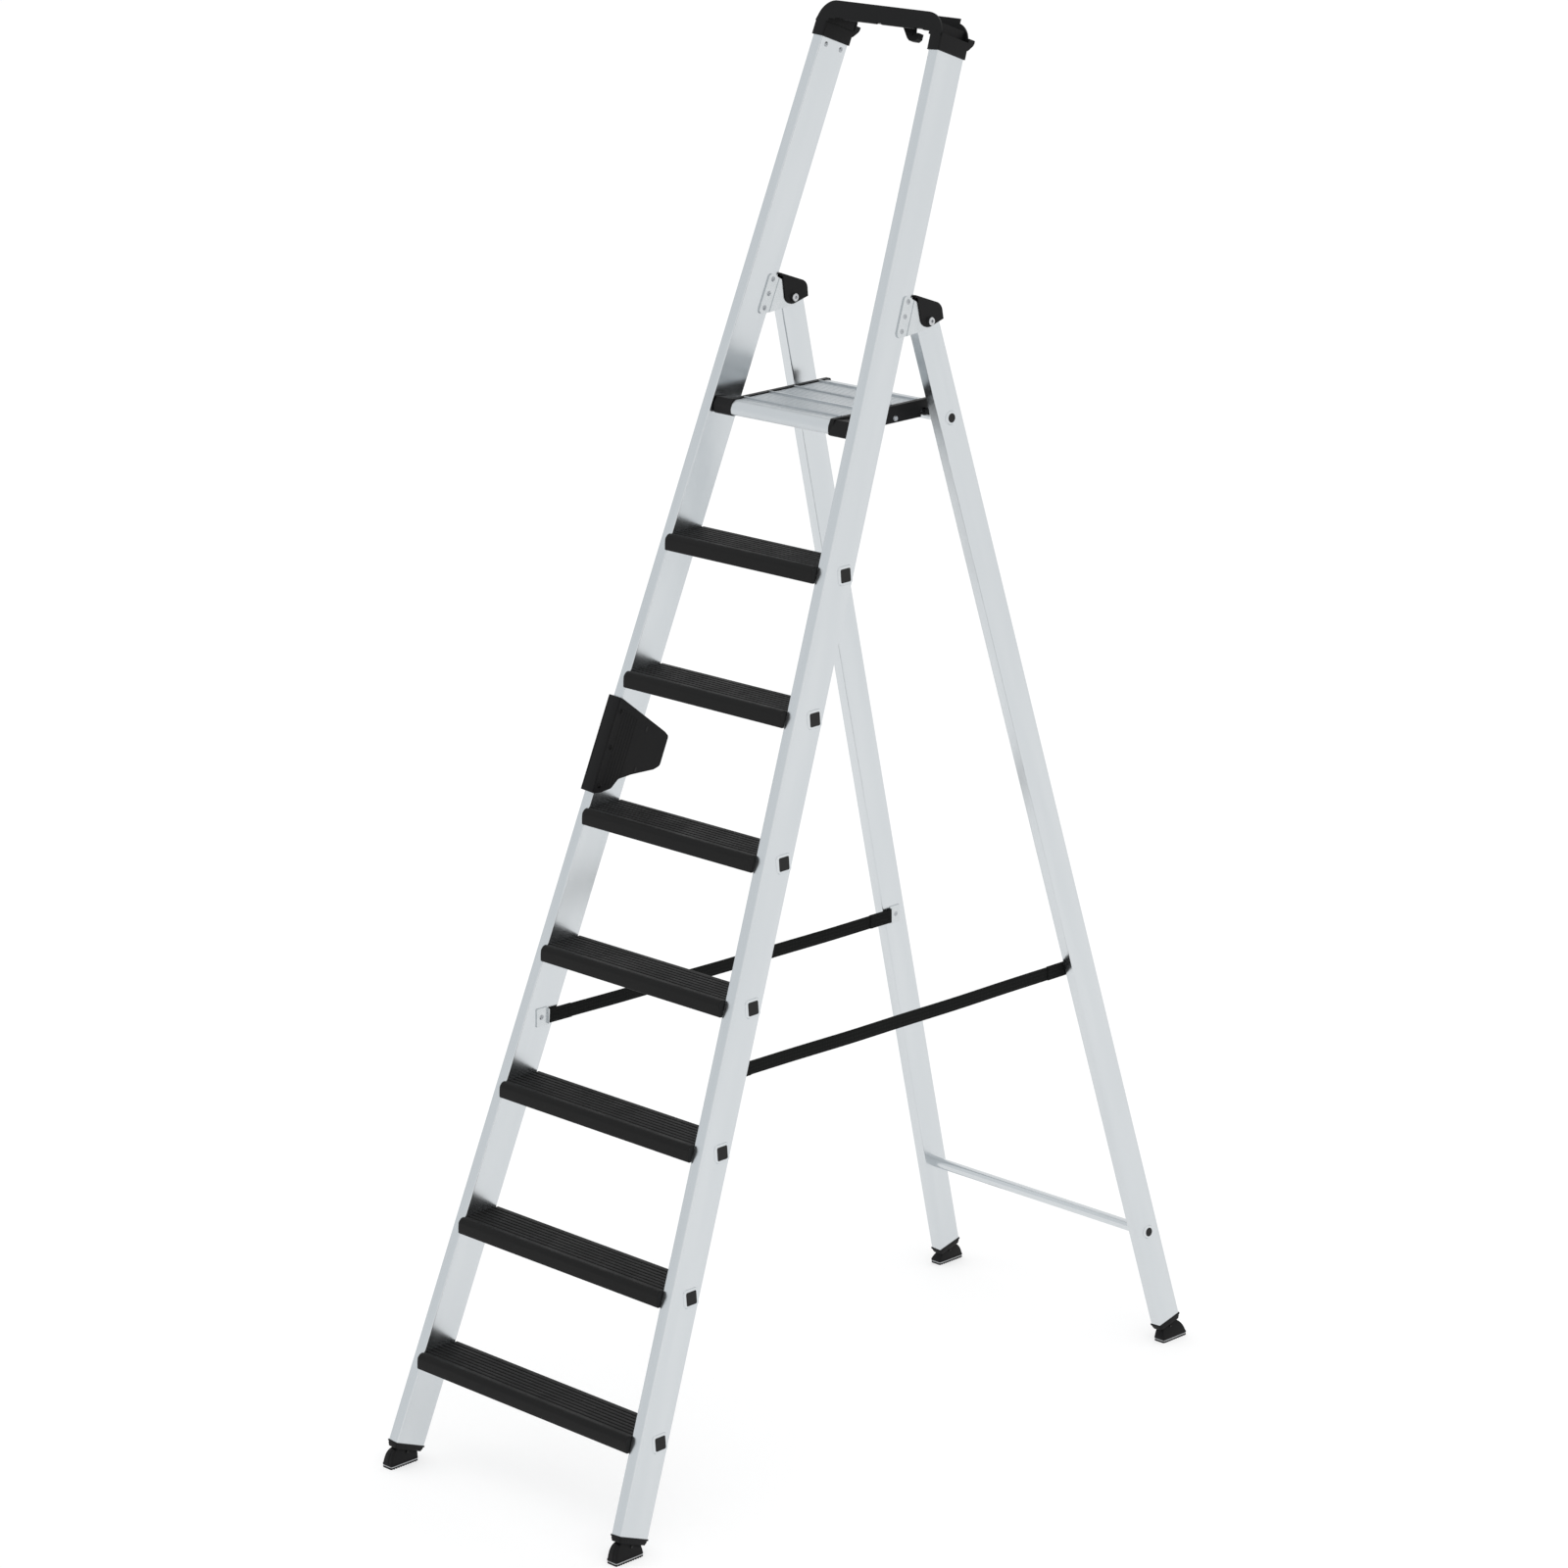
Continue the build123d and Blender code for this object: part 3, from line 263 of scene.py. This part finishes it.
def put(name, verts, faces, mat, body, replaces=(), bevel=None, smooth=35):
    """A new piece from points in the shared frame, riding on a CAD body."""
    me = bpy.data.meshes.new(name)
    me.from_pydata([tuple(v) for v in verts], [], faces)
    finish_mesh(me, smooth)
    ob = bpy.data.objects.new(name, me)
    bpy.context.scene.collection.objects.link(ob)
    me.materials.append(mat)
    if bevel:
        soften(ob, *bevel)
    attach(ob, body)
    if replaces:
        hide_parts(*replaces)


def soften(ob, width, segments):
    """Rounds the sharp edges of a piece."""
    b = ob.modifiers.new("edges", "BEVEL")
    b.width = width
    b.segments = segments
    b.limit_method = "ANGLE"
    b.angle_limit = radians(30)
    b.miter_outer = "MITER_ARC"
    b.use_clamp_overlap = True
    b.harden_normals = True


def remade(node, mat, body, width, segments):
    """A rounded copy of a CAD node's mesh, standing for that node."""
    me = nodes[node].data.copy()
    bm = bmesh.new()
    bm.from_mesh(me)
    bmesh.ops.remove_doubles(bm, verts=bm.verts, dist=1e-6)
    bmesh.ops.dissolve_limit(bm, angle_limit=radians(0.6), verts=bm.verts, edges=bm.edges)
    bm.to_mesh(me)
    bm.free()
    finish_mesh(me)
    ob = bpy.data.objects.new(node + "_look", me)
    bpy.context.scene.collection.objects.link(ob)
    me.materials.clear()
    me.materials.append(mat)
    soften(ob, width, segments)
    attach(ob, body)
    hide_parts(node)


def paint(mat, *names):
    """Gives CAD nodes their material."""
    for n in names:
        me = nodes[n].data
        me.materials.clear()
        me.materials.append(mat)


ARC_STEP = 0.8 * MM
NEARLY_STRAIGHT = 1.5                       # half angle of a corner too flat to round, in radians


def rounded(points):
    """Polygon (x, y, radius) with its corners rounded; returns plain points."""
    out = []
    count = len(points)
    for i, p in enumerate(points):
        r = p[2] if len(p) > 2 else 0.0
        a = Vector(points[i - 1][:2])
        b = Vector(p[:2])
        c = Vector(points[(i + 1) % count][:2])
        if r <= 0:
            out.append(b)
            continue
        u, w = (a - b).normalized(), (c - b).normalized()
        half = u.angle(w) / 2
        if half > NEARLY_STRAIGHT:
            out.append(b)
            continue
        reach = min(r / tan(half), (a - b).length * 0.49, (c - b).length * 0.49)
        r = reach * tan(half)
        centre = b + (u + w).normalized() * (r / sin(half))
        start, end = b + u * reach, b + w * reach
        steps = min(max(3, int(r / ARC_STEP) + 2), 10)
        v0, v1 = start - centre, end - centre
        sweep = v0.angle_signed(v1)
        for k in range(steps + 1):
            rot = Matrix.Rotation(-sweep * k / steps, 2)
            out.append(centre + rot @ v0)
    return out


# ---------------------------------------------------------------- lofts and slabs
def loft(rings):
    """Skin over equal-length rings of points, with both ends closed."""
    verts = [p for ring in rings for p in ring]
    n = len(rings[0])
    faces = [tuple(range(n))]
    for k in range(len(rings) - 1):
        for i in range(n):
            j = (i + 1) % n
            faces.append((k * n + i, k * n + j, (k + 1) * n + j, (k + 1) * n + i))
    faces.append(tuple(range(len(verts) - 1, len(verts) - n - 1, -1)))
    return verts, faces


def box_ring(width, depth, radius, steps=5):
    """Rounded rectangle around the origin, the same number of points for every size."""
    ring = []
    for cx, cy, start in ((1, 1, 0), (-1, 1, 90), (-1, -1, 180), (1, -1, 270)):
        for k in range(steps + 1):
            a = radians(start + 90 * k / steps)
            x = cx * (width / 2 - radius) + radius * cos(a)
            y = cy * (depth / 2 - radius) + radius * sin(a)
            ring.append((x, y))
    return ring


def slab(outline, low, high, point):
    """Flat piece: an outline given on a plane, between two distances out of it."""
    shape = rounded(outline)
    return loft([[point(d, p.x, p.y) for p in shape] for d in (low, high)])


# ---------------------------------------------------------------- treads
TREAD_END = -STILE_W - 0.4 * MM             # just inside the stile's inner face
NOSE_CAP_DEPTHS = (-0.3 * MM, 0.6 * MM)     # either side of the tread's end
GROOVE_PITCH = 9.6


def tread(index):
    """Grooved cover of a step with its rounded nose and the nose's end caps."""
    node = f"tread_{index}"
    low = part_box(node)[0]
    y0 = low.y + 57.5 * MM
    z0 = low.z + 8.5 * MM
    outline = [
        (-57.2, 3.0, 4), (-56.6, 13.0, 8), (-51.0, 19.6, 7), (-45.8, 20.3, 3), (-44.2, 19.0, 0.6),
    ]
    groove = -38.0
    while groove < 26.0:
        outline += [
            (groove, 19.0, 0.5), (groove + 0.9, 17.3, 0.3), (groove + 2.9, 17.3, 0.3), (groove + 3.8, 19.0, 0.5),
        ]
        groove += GROOVE_PITCH
    outline += [
        (33.6, 19.0, 1.2), (34.0, 12.0, 0.4), (32.1, 12.0, 0.2), (32.1, 16.1, 0.2),
        (-54.0, 16.1, 0.3), (-54.0, -6.0, 0.3), (-51.0, -6.0, 0.3), (-51.0, -8.4, 0.8),
        (-55.6, -8.4, 1.2), (-57.2, -6.6, 1.2),
    ]
    profile = rounded([(a * MM, b * MM, c * MM) for a, b, c in outline])
    verts, faces = [], []
    count = len(profile)
    ends = []
    for sign in (1, -1):
        ring = []
        for p in profile:
            y, z = y0 + p.x, z0 + p.y
            ring.append(len(verts))
            verts.append(Vector((sign * plane_x(TREAD_END, y, z), y, z)))
        ends.append(ring)
    for i in range(count):
        j = (i + 1) % count
        faces.append((ends[0][i], ends[0][j], ends[1][j], ends[1][i]))
    cap = geometry.tessellate_polygon([[Vector((p.x, p.y, 0)) for p in profile]])
    for tri in cap:
        faces.append(tuple(ends[0][k] for k in tri))
        faces.append(tuple(ends[1][k] for k in reversed(tri)))
    put(f"tread_{index}_cover", verts, faces, tread_mat, "front_frame", (node,), smooth=28)
    # cap that closes each end of the nose
    for sign in (1, -1):
        shape = rounded([(x * MM, z * MM, r * MM) for x, z, r in (
            (-56.9, -6.6, 1.0), (-57.0, 3.0, 3.0), (-56.3, 13.0, 8.0), (-50.9, 19.3, 7.0), (-44.5, 19.6, 1.0),
            (-42.0, 17.0, 1.0), (-42.0, 4.0, 1.0), (-49.5, -8.2, 1.0), (-55.6, -8.2, 1.2))])
        rings = []
        for depth in NOSE_CAP_DEPTHS:
            points = [(y0 + p.x, z0 + p.y) for p in shape]
            rings.append([Vector((sign * (plane_x(TREAD_END, y, z) + depth), y, z)) for y, z in points])
        verts, faces = loft(rings)
        side_name = "right" if sign > 0 else "left"
        put(f"tread_{index}_nose_{side_name}", verts, faces, plug_mat, "front_frame")


for index in range(1, 8):
    tread(index)

# ---------------------------------------------------------------- pieces kept from the CAD
paint(stile_mat[1], "stile_right")
paint(stile_mat[-1], "stile_left")
paint(leg_mat, "rear_leg_left", "rear_leg_right")
paint(cross_mat, *[f"step_{i}" for i in range(1, 8)], "platform_support_tube", "rear_crossbar")
paint(rivet_mat, "front_rivets", "strap_rivets_rear", "platform_screws")
# The carry grip's rivets get the near-black painted shade of their holes.
paint(dark_rivet_mat, "carry_grip_rivets")
paint(steel_mat, "pivot_bolts", "pivot_sleeve_nuts", "platform_pins")
paint(plate_mat, "hinge_plates_left", "hinge_plates_right", "strap_brackets_front", "strap_brackets_rear")
paint(plug_mat, "step_plugs", "tube_plugs", "foot_pins_front", "foot_pins_rear")
paint(bush_mat, "pivot_bushes")
paint(platform_mat, "platform_plate")
remade("top_tray", black_mat, "front_frame", 0.0012, 3)
for side in ("left", "right"):
    remade(f"hinge_cover_{side}", black_mat, "front_frame", 0.0009, 3)
    remade(f"platform_rail_{side}", black_mat, "platform", 0.0009, 3)


# ---------------------------------------------------------------- carry grip
def grip_point(s, v, t):
    """A point beside the left stile, s in millimetres and v and t in metres."""
    return stile_point(s * MM, v, t, -1)


def scaled(points):
    """Outline points with their corner radii, from millimetres to metres."""
    return [(v * MM, t * MM, r * MM) for v, t, r in points]


GRIP_THICK = 3.2
grip_in = -STILE_W / MM - GRIP_THICK         # the grip's visible face, beside the stile
plate_shape = scaled([
    (-0.3, 1370, 0.4), (121, 1332, 9), (132.5, 1326, 7), (133, 1271, 9), (121, 1262, 10),
    (72, 1244, 12), (45, 1231, 12), (35, 1212, 12), (14, 1201, 10), (-0.3, 1197, 0.4)])
verts, faces = slab(plate_shape, grip_in, -23.02, grip_point)
put(
    "carry_grip_plate", verts, faces, black_mat, "front_frame", ("carry_grip",), (0.0004, 2)
)
front_shape = scaled([
    (grip_in, -7, 2.2), (4.5, -7, 1.6), (4.5, 8, 1.2), (0.1, 8, 0.3), (0.1, -0.1, 0.3),
    (-23.0, -0.1, 0.2), (grip_in, -0.1, 0.2)])
rail = rounded(front_shape)
verts, faces = loft([[grip_point(p.x / MM, p.y, t * MM) for p in rail] for t in (1197.0, 1370.0)])
put("carry_grip_front", verts, faces, black_mat, "front_frame", (), (0.0005, 2))
ridge = scaled([(0.9, -7.4, 0.3), (2.0, -7.4, 0.3), (2.0, -6.6, 0.1), (0.9, -6.6, 0.1)])
rail = rounded(ridge)
verts, faces = loft([[grip_point(p.x / MM, p.y, t * MM) for p in rail] for t in (1199.0, 1368.0)])
put("carry_grip_front_line", verts, faces, black_mat, "front_frame")
for k in range(6):
    v = 13.0 + 7.0 * k
    low_t = 1212.0 + max(0.0, v - 28.0) * 1.05
    high_t = 1357.0 - v * 0.33
    shape = scaled([
        (v - 1.1, low_t, 1.0), (v + 1.1, low_t, 1.0), (v + 1.1, high_t, 1.0), (v - 1.1, high_t, 1.0)])
    verts, faces = slab(shape, grip_in - 0.4, grip_in + 0.1, grip_point)
    put(f"carry_grip_rib_{k + 1}", verts, faces, black_mat, "front_frame", (), (0.0003, 2))
for k, (v, t) in enumerate(((76.0, 1328.0), (78.0, 1254.0))):
    shape = scaled([(v - 2.2, t - 5, 2), (v + 2.2, t - 5, 2), (v + 2.2, t + 5, 2), (v - 2.2, t + 5, 2)])
    verts, faces = slab(shape, grip_in - 0.5, grip_in + 0.1, grip_point)
    put(f"carry_grip_boss_{k + 1}", verts, faces, plug_mat, "front_frame", (), (0.0002, 2))

# ---------------------------------------------------------------- tray end walls
def frame_point(x, v, u):
    """A point of the climbing frame: x across, v backwards, u up along it, in millimetres."""
    y = v * cos(FRONT_LEAN) + u * sin(FRONT_LEAN)
    z = u * cos(FRONT_LEAN) - v * sin(FRONT_LEAN)
    return Vector((x * MM, STILE_END.y + y * MM, STILE_END.z + z * MM))


for side, name in ((1, "right"), (-1, "left")):
    for label, v0, v1, inner in (("front", -2.45, 1.6, 134.0), ("rear", 65.2, 68.45, 122.0)):
        shape = [(inner, 2592.0), (153.6, 2592.0)]
        for k in range(9):
            a = radians(2 + (21 if label == "front" else 34) * k / 8)
            shape.append((112 + 40 * cos(a), 2590 + 40 * sin(a)))
        shape.append((inner, shape[-1][1]))
        verts, faces = loft([[frame_point(side * x, v, u) for x, u in shape] for v in (v0, v1)])
        put(
            f"tray_corner_{label}_{name}", verts, faces, black_mat, "front_frame",
            (), (0.0006, 2),
        )

# ---------------------------------------------------------------- feet
LEG_LENGTH = 1998.0 * MM
FOOT_CENTRE_Y, FOOT_HALF_LENGTH = 683.0, 31.0
NECK_LOW, NECK_HIGH = -12.6, -8.4           # where the body enters its collar, below the tube's end
NECK_INSET = 7.0


def foot_look(place, sign, centre_x, width, depth, inset, spread, rise):
    """Both feet of a frame, in millimetres: hollow collar, lofted body and ridged column.

    sign is -1 at the front and 1 at the rear; inset, spread and rise shape the body's outer
    curve below the collar.
    """
    body = "front_frame" if place == "front" else "rear_frame"
    x, y, z = tilt(FRONT_LEAN if place == "front" else -REAR_LEAN)
    if place == "front":
        end = STILE_END - x * STILE_W / 2 + y * STILE_D / 2
    else:
        end = HINGE - z * LEG_LENGTH

    def local(a, b, c):
        """A point in the tube end's own directions: across, outwards and up the tube."""
        return end + (x * a + y * (sign * b) + z * c) * MM

    skirt = []
    for up, w, d, r in (
        (0.0, width + 2.6, depth + 2.6, 3.0), (-0.4, width + 3.4, depth + 3.4, 3.4),
        (-2.2, width + 3.4, depth + 3.4, 3.4), (-2.6, width + 2.8, depth + 2.8, 3.0),
        (-2.9, width + 0.6, depth + 0.6, 3.0), (-7.2, width + 0.2, depth - 0.4, 3.4),
        (-7.6, width - 0.6, depth - 1.6, 3.4), (-10.6, width - 1.4, depth - 3.4, 3.4),
        (-11.0, width - 2.0, depth - 4.0, 3.2),
        (-11.0, width - 5.0, depth - 7.4, 2.0), (-4.0, width - 5.0, depth - 7.4, 2.0),
    ):
        skirt.append([(a, b, up) for a, b in box_ring(w, d, r)])
    toe = sign * (FOOT_CENTRE_Y + FOOT_HALF_LENGTH)
    heel = sign * (FOOT_CENTRE_Y - FOOT_HALF_LENGTH)
    outer_top = local(0, depth / 2 - inset, NECK_LOW) / MM
    outer_top.x = 0.0
    inner_top = local(0, -(depth / 2 - NECK_INSET), NECK_LOW) / MM
    inner_top.x = 0.0
    bend = Vector((0, outer_top.y + sign * spread, outer_top.z + rise))
    # each ring: its ends towards toe and heel, half width, corner radius, share of the way up
    rings = []
    for height, tip, half, r in (
        (5.25, toe, 12.2, 2.0), (5.6, toe, 12.8, 2.6), (8.2, toe, 12.8, 3.0), (8.6, toe - sign * 0.5, 12.3, 3.0),
    ):
        rings.append((Vector((0, tip, height)), Vector((0, heel, height)), half, r, 0.0))
    for k in range(1, 13):
        q = k / 12
        start = Vector((0, toe - sign * 0.8, 9.0))
        front = start * (1 - q) ** 2 + bend * 2 * q * (1 - q) + outer_top * q * q
        hind = Vector((0, heel - sign * 0.2, 9.0)).lerp(inner_top, q)
        rings.append((front, hind, 12.2 - 4.4 * q ** 1.4, 3.4, q))
    up_front = local(0, depth / 2 - inset, NECK_HIGH) / MM
    up_hind = local(0, -(depth / 2 - NECK_INSET), NECK_HIGH) / MM
    rings.append((Vector((0, up_front.y, up_front.z)), Vector((0, up_hind.y, up_hind.z)), 7.8, 3.4, 1.0))
    neck_x = local(0, 0, NECK_LOW).x / MM
    shapes = []
    column = []
    for front, hind, half, r, q in rings:
        middle = (front + hind) / 2
        along = (front - hind).normalized()
        length = (front - hind).length
        cx = centre_x + (neck_x - centre_x) * q
        shapes.append([
            Vector((cx + a, middle.y + along.y * b, middle.z + along.z * b)) * MM
            for a, b in box_ring(2 * half, length, r)
        ])
        if front.z > 8.4:
            ring = []
            for i in range(32):
                ang = 2 * pi * i / 32
                rad = 5.0 + 0.35 * cos(6 * ang)
                a, b = rad * cos(ang), rad * 0.75 * sin(ang)
                b -= 2.6
                ring.append(Vector((cx + a, front.y + along.y * b, front.z + along.z * b)) * MM)
            column.append(ring)
    for side, name in ((1, "right"), (-1, "left")):
        rider = f"foot_{place}_{name}_body"

        def flip(p):
            """The point on this side of the ladder."""
            return Vector((p.x * side, p.y, p.z))

        verts, faces = loft([[flip(local(*c)) for c in ring] for ring in skirt])
        cad_sockets = (f"foot_sockets_{place}",) if side > 0 else ()
        put(
            f"foot_socket_{place}_{name}", verts, faces, black_mat, body,
            cad_sockets, smooth=32,
        )
        verts, faces = loft([[flip(p) for p in ring] for ring in shapes])
        put(
            f"foot_body_{place}_{name}", verts, faces, black_mat, rider,
            (f"foot_{place}_{name}",), smooth=40,
        )
        verts, faces = loft([[flip(p) for p in ring] for ring in column[:-1]])
        put(f"foot_column_{place}_{name}", verts, faces, black_mat, rider, smooth=60)
        remade(f"foot_liner_{place}_{name}", grey_mat, rider, 0.0002, 2)
        remade(f"foot_sole_{place}_{name}", rubber_mat, rider, 0.0003, 2)


foot_look("front", -1, 296.3, 23.0, 66.0, 7.0, 12.0, -5.0)
foot_look("rear", 1, 291.6, 22.6, 53.5, 7.0, 12.0, -5.0)

# ---------------------------------------------------------------- straps
FRONT_ANCHOR = Vector((0, -372.2, 767.6)) * MM
REAR_ANCHOR = Vector((0, 499.5, 756.3)) * MM


def leg_plane_x(s, y, z):
    """X of the plane at s beside the right leg's middle, where it meets a line along X."""
    n = tilt(-REAR_LEAN)[0]
    return HINGE.x + (s - n.y * (y - HINGE.y) - n.z * (z - HINGE.z)) / n.x


STRAP_GAP = 5.2 * MM            # tube's inner face to the middle of the strap
STITCH_MARGIN = 6.0 * MM        # sewn end to its first row of stitches
STITCH_HALF = 9.2 * MM          # strap's middle line to the rows along its edges
STITCH_PITCH = 3.2 * MM
THREAD_RADIUS = 0.4 * MM
SEWN_HALF_THICK = 2.3 * MM
STITCH_FACES = ((0, 3, 4, 1), (1, 4, 5, 2), (0, 2, 5, 3), (0, 1, 2), (3, 5, 4))


def strap(side, name):
    """One webbing strap with sewn layers at both ends, hanging between the two frames."""
    start = Vector((plane_x(-STILE_W, FRONT_ANCHOR.y, FRONT_ANCHOR.z) - STRAP_GAP, -356.6 * MM, 767.6 * MM))
    stop_x = leg_plane_x(-LEG_W / 2, REAR_ANCHOR.y, REAR_ANCHOR.z) - STRAP_GAP
    stop = Vector((stop_x, 483.9 * MM, 756.3 * MM))
    run = stop - start
    ahead = run.normalized()
    up = Vector((1, 0, 0)).cross(ahead).normalized()
    if up.z < 0:
        up = -up
    out = up.cross(ahead).normalized()
    if out.x < 0:
        out = -out

    def at(distance, width, thick):
        """A point of the strap, which hangs and ripples very slightly."""
        q = distance / run.length
        sag = -0.0022 * sin(pi * q)
        wave = 0.0006 * sin(2 * pi * (3.2 * q + 0.15))
        return start + ahead * distance + up * (width + sag) + out * (thick + wave)

    def ribbon(low, high, height, thick, count, offset=0.0):
        """A length of flat webbing with rounded edges."""
        rings = []
        edge = box_ring(thick, height, thick * 0.45, 3)
        for k in range(count + 1):
            d = low + (high - low) * k / count
            ring = []
            for a, b in edge:
                p = at(d, b, a + offset)
                ring.append(Vector((p.x * side, p.y, p.z)))
            rings.append(ring)
        return loft(rings)

    def stitching(low, high):
        """Box and cross of separate stitches on both faces of a sewn end."""
        verts, faces = [], []
        inner, reach = low + STITCH_MARGIN, high - STITCH_MARGIN
        corners = [
            (inner, -STITCH_HALF), (reach, -STITCH_HALF), (reach, STITCH_HALF), (inner, STITCH_HALF)
        ]
        paths = [(corners[i], corners[(i + 1) % 4]) for i in range(4)]
        paths += [(corners[0], corners[2]), (corners[1], corners[3])]
        for outward in (1, -1):
            for (d0, w0), (d1, w1) in paths:
                count = int(Vector((d1 - d0, w1 - w0)).length / STITCH_PITCH)
                across = Vector((-(w1 - w0), d1 - d0)).normalized() * THREAD_RADIUS
                for i in range(count):
                    base = len(verts)
                    for q in ((i + 0.15) / count, (i + 0.85) / count):
                        d, w = d0 + (d1 - d0) * q, w0 + (w1 - w0) * q
                        for sx, lift in ((-1, 0), (0, THREAD_RADIUS), (1, 0)):
                            p = at(d + across.x * sx, w + across.y * sx, outward * (SEWN_HALF_THICK + lift))
                            verts.append(Vector((p.x * side, p.y, p.z)))
                    faces += [tuple(base + n for n in face) for face in STITCH_FACES]
        return verts, faces

    pieces = [("webbing", ribbon(0.0, run.length, 0.0250, 0.0017, 96), webbing_mat)]
    for end, low, high in (("front", 0.0, 0.0510), ("rear", run.length - 0.0540, run.length)):
        pieces.append((f"fold_{end}_out", ribbon(low, high, 0.0254, 0.0015, 10, 0.0016), webbing_mat))
        pieces.append((f"fold_{end}_in", ribbon(low, high, 0.0254, 0.0015, 10, -0.0016), webbing_mat))
        pieces.append((f"stitch_{end}", stitching(low, high), thread_mat))
    first = True
    for label, (verts, faces), mat in pieces:
        me = bpy.data.meshes.new(f"strap_{name}_{label}")
        me.from_pydata([tuple(v) for v in verts], [], faces)
        finish_mesh(me, 50)
        ob = bpy.data.objects.new(f"strap_{name}_{label}", me)
        bpy.context.scene.collection.objects.link(ob)
        me.materials.append(mat)
        s0, s1 = start.copy(), stop.copy()
        s0.x *= side
        s1.x *= side
        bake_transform(ob)
        if first:
            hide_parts(f"strap_{name}")
            first = False


strap(1, "right")
strap(-1, "left")

# ---------------------------------------------------------------- floor, light and camera
size = 45.0
floor_mesh = bpy.data.meshes.new("floor")
corners = [(-size, -size, 0), (size, -size, 0), (size, size, 0), (-size, size, 0)]
floor_mesh.from_pydata(corners, [], [(0, 1, 2, 3)])
floor = bpy.data.objects.new("floor", floor_mesh)
bpy.context.scene.collection.objects.link(floor)
floor_mat, tree, bsdf = nodes_of("floor_pale")
bsdf.inputs["Roughness"].default_value = 0.9
bsdf.inputs["Specular IOR Level"].default_value = 0.1
cloud = noise(tree, local_coords(tree), 0.6, 2.0)
tree.links.new(ramp(tree, cloud, (0.46, 0.46, 0.46), (0.47, 0.47, 0.47)), bsdf.inputs["Base Color"])
bsdf.inputs["Emission Color"].default_value = (1, 1, 1, 1)
bsdf.inputs["Emission Strength"].default_value = 0.56
floor_mesh.materials.append(floor_mat)

world = bpy.data.worlds.new("studio")
bpy.context.scene.world = world
world.use_nodes = True
sky = world.node_tree
where = sky.nodes.new("ShaderNodeTexCoord")
facing = sky.nodes.new("ShaderNodeVectorMath")
facing.operation = "DOT_PRODUCT"
facing.inputs[1].default_value = (-0.70, -0.67, 0.25)
sky.links.new(where.outputs["Generated"], facing.inputs[0])
shade = ramp(sky, facing.outputs["Value"], (1.0, 1.0, 1.0), (0.84, 0.86, 0.875), (0.35, 0.98))
sky.links.new(shade, sky.nodes["Background"].inputs["Color"])
sky.nodes["Background"].inputs["Strength"].default_value = 1.0


def softbox(name, at, target, width, height, power):
    """A rectangle of soft light that doesn't show as a reflection."""
    data = bpy.data.lights.new(name, "AREA")
    data.shape = "RECTANGLE"
    data.size, data.size_y = width, height
    data.energy = power
    ob = bpy.data.objects.new(name, data)
    bpy.context.scene.collection.objects.link(ob)
    ob.location = at
    ob.rotation_euler = (Vector(target) - Vector(at)).to_track_quat("-Z", "Y").to_euler()
    ob.visible_glossy = False


softbox("key", (3.5, -1.5, 5.5), (0, 0, 1.2), 3.0, 3.0, 30)
softbox("fill", (-4.5, -3.0, 3.5), (0, 0, 1.2), 3.0, 3.0, 12)

azimuth, elevation, roll = radians(46.72), radians(16.09), radians(-1.309)
back = Vector((sin(azimuth) * cos(elevation), -cos(azimuth) * cos(elevation), sin(elevation)))
right = Vector((cos(azimuth), sin(azimuth), 0))
up = back.cross(right)
cam_x = right * cos(roll) + up * sin(roll)
cam_y = up * cos(roll) - right * sin(roll)
camera = bpy.data.objects.new("camera", bpy.data.cameras.new("camera"))
bpy.context.scene.collection.objects.link(camera)
turn = Matrix((cam_x, cam_y, back)).transposed().to_4x4()
spot = Vector((0.85, 4.63, 1158.68)) * MM + back * 9.4725
camera.matrix_world = Matrix.Translation(spot) @ turn
camera.data.sensor_width = 36.0
camera.data.lens = 124.16
camera.data.clip_end = 200.0
bpy.context.scene.camera = camera
bpy.context.scene.view_settings.view_transform = "Standard"
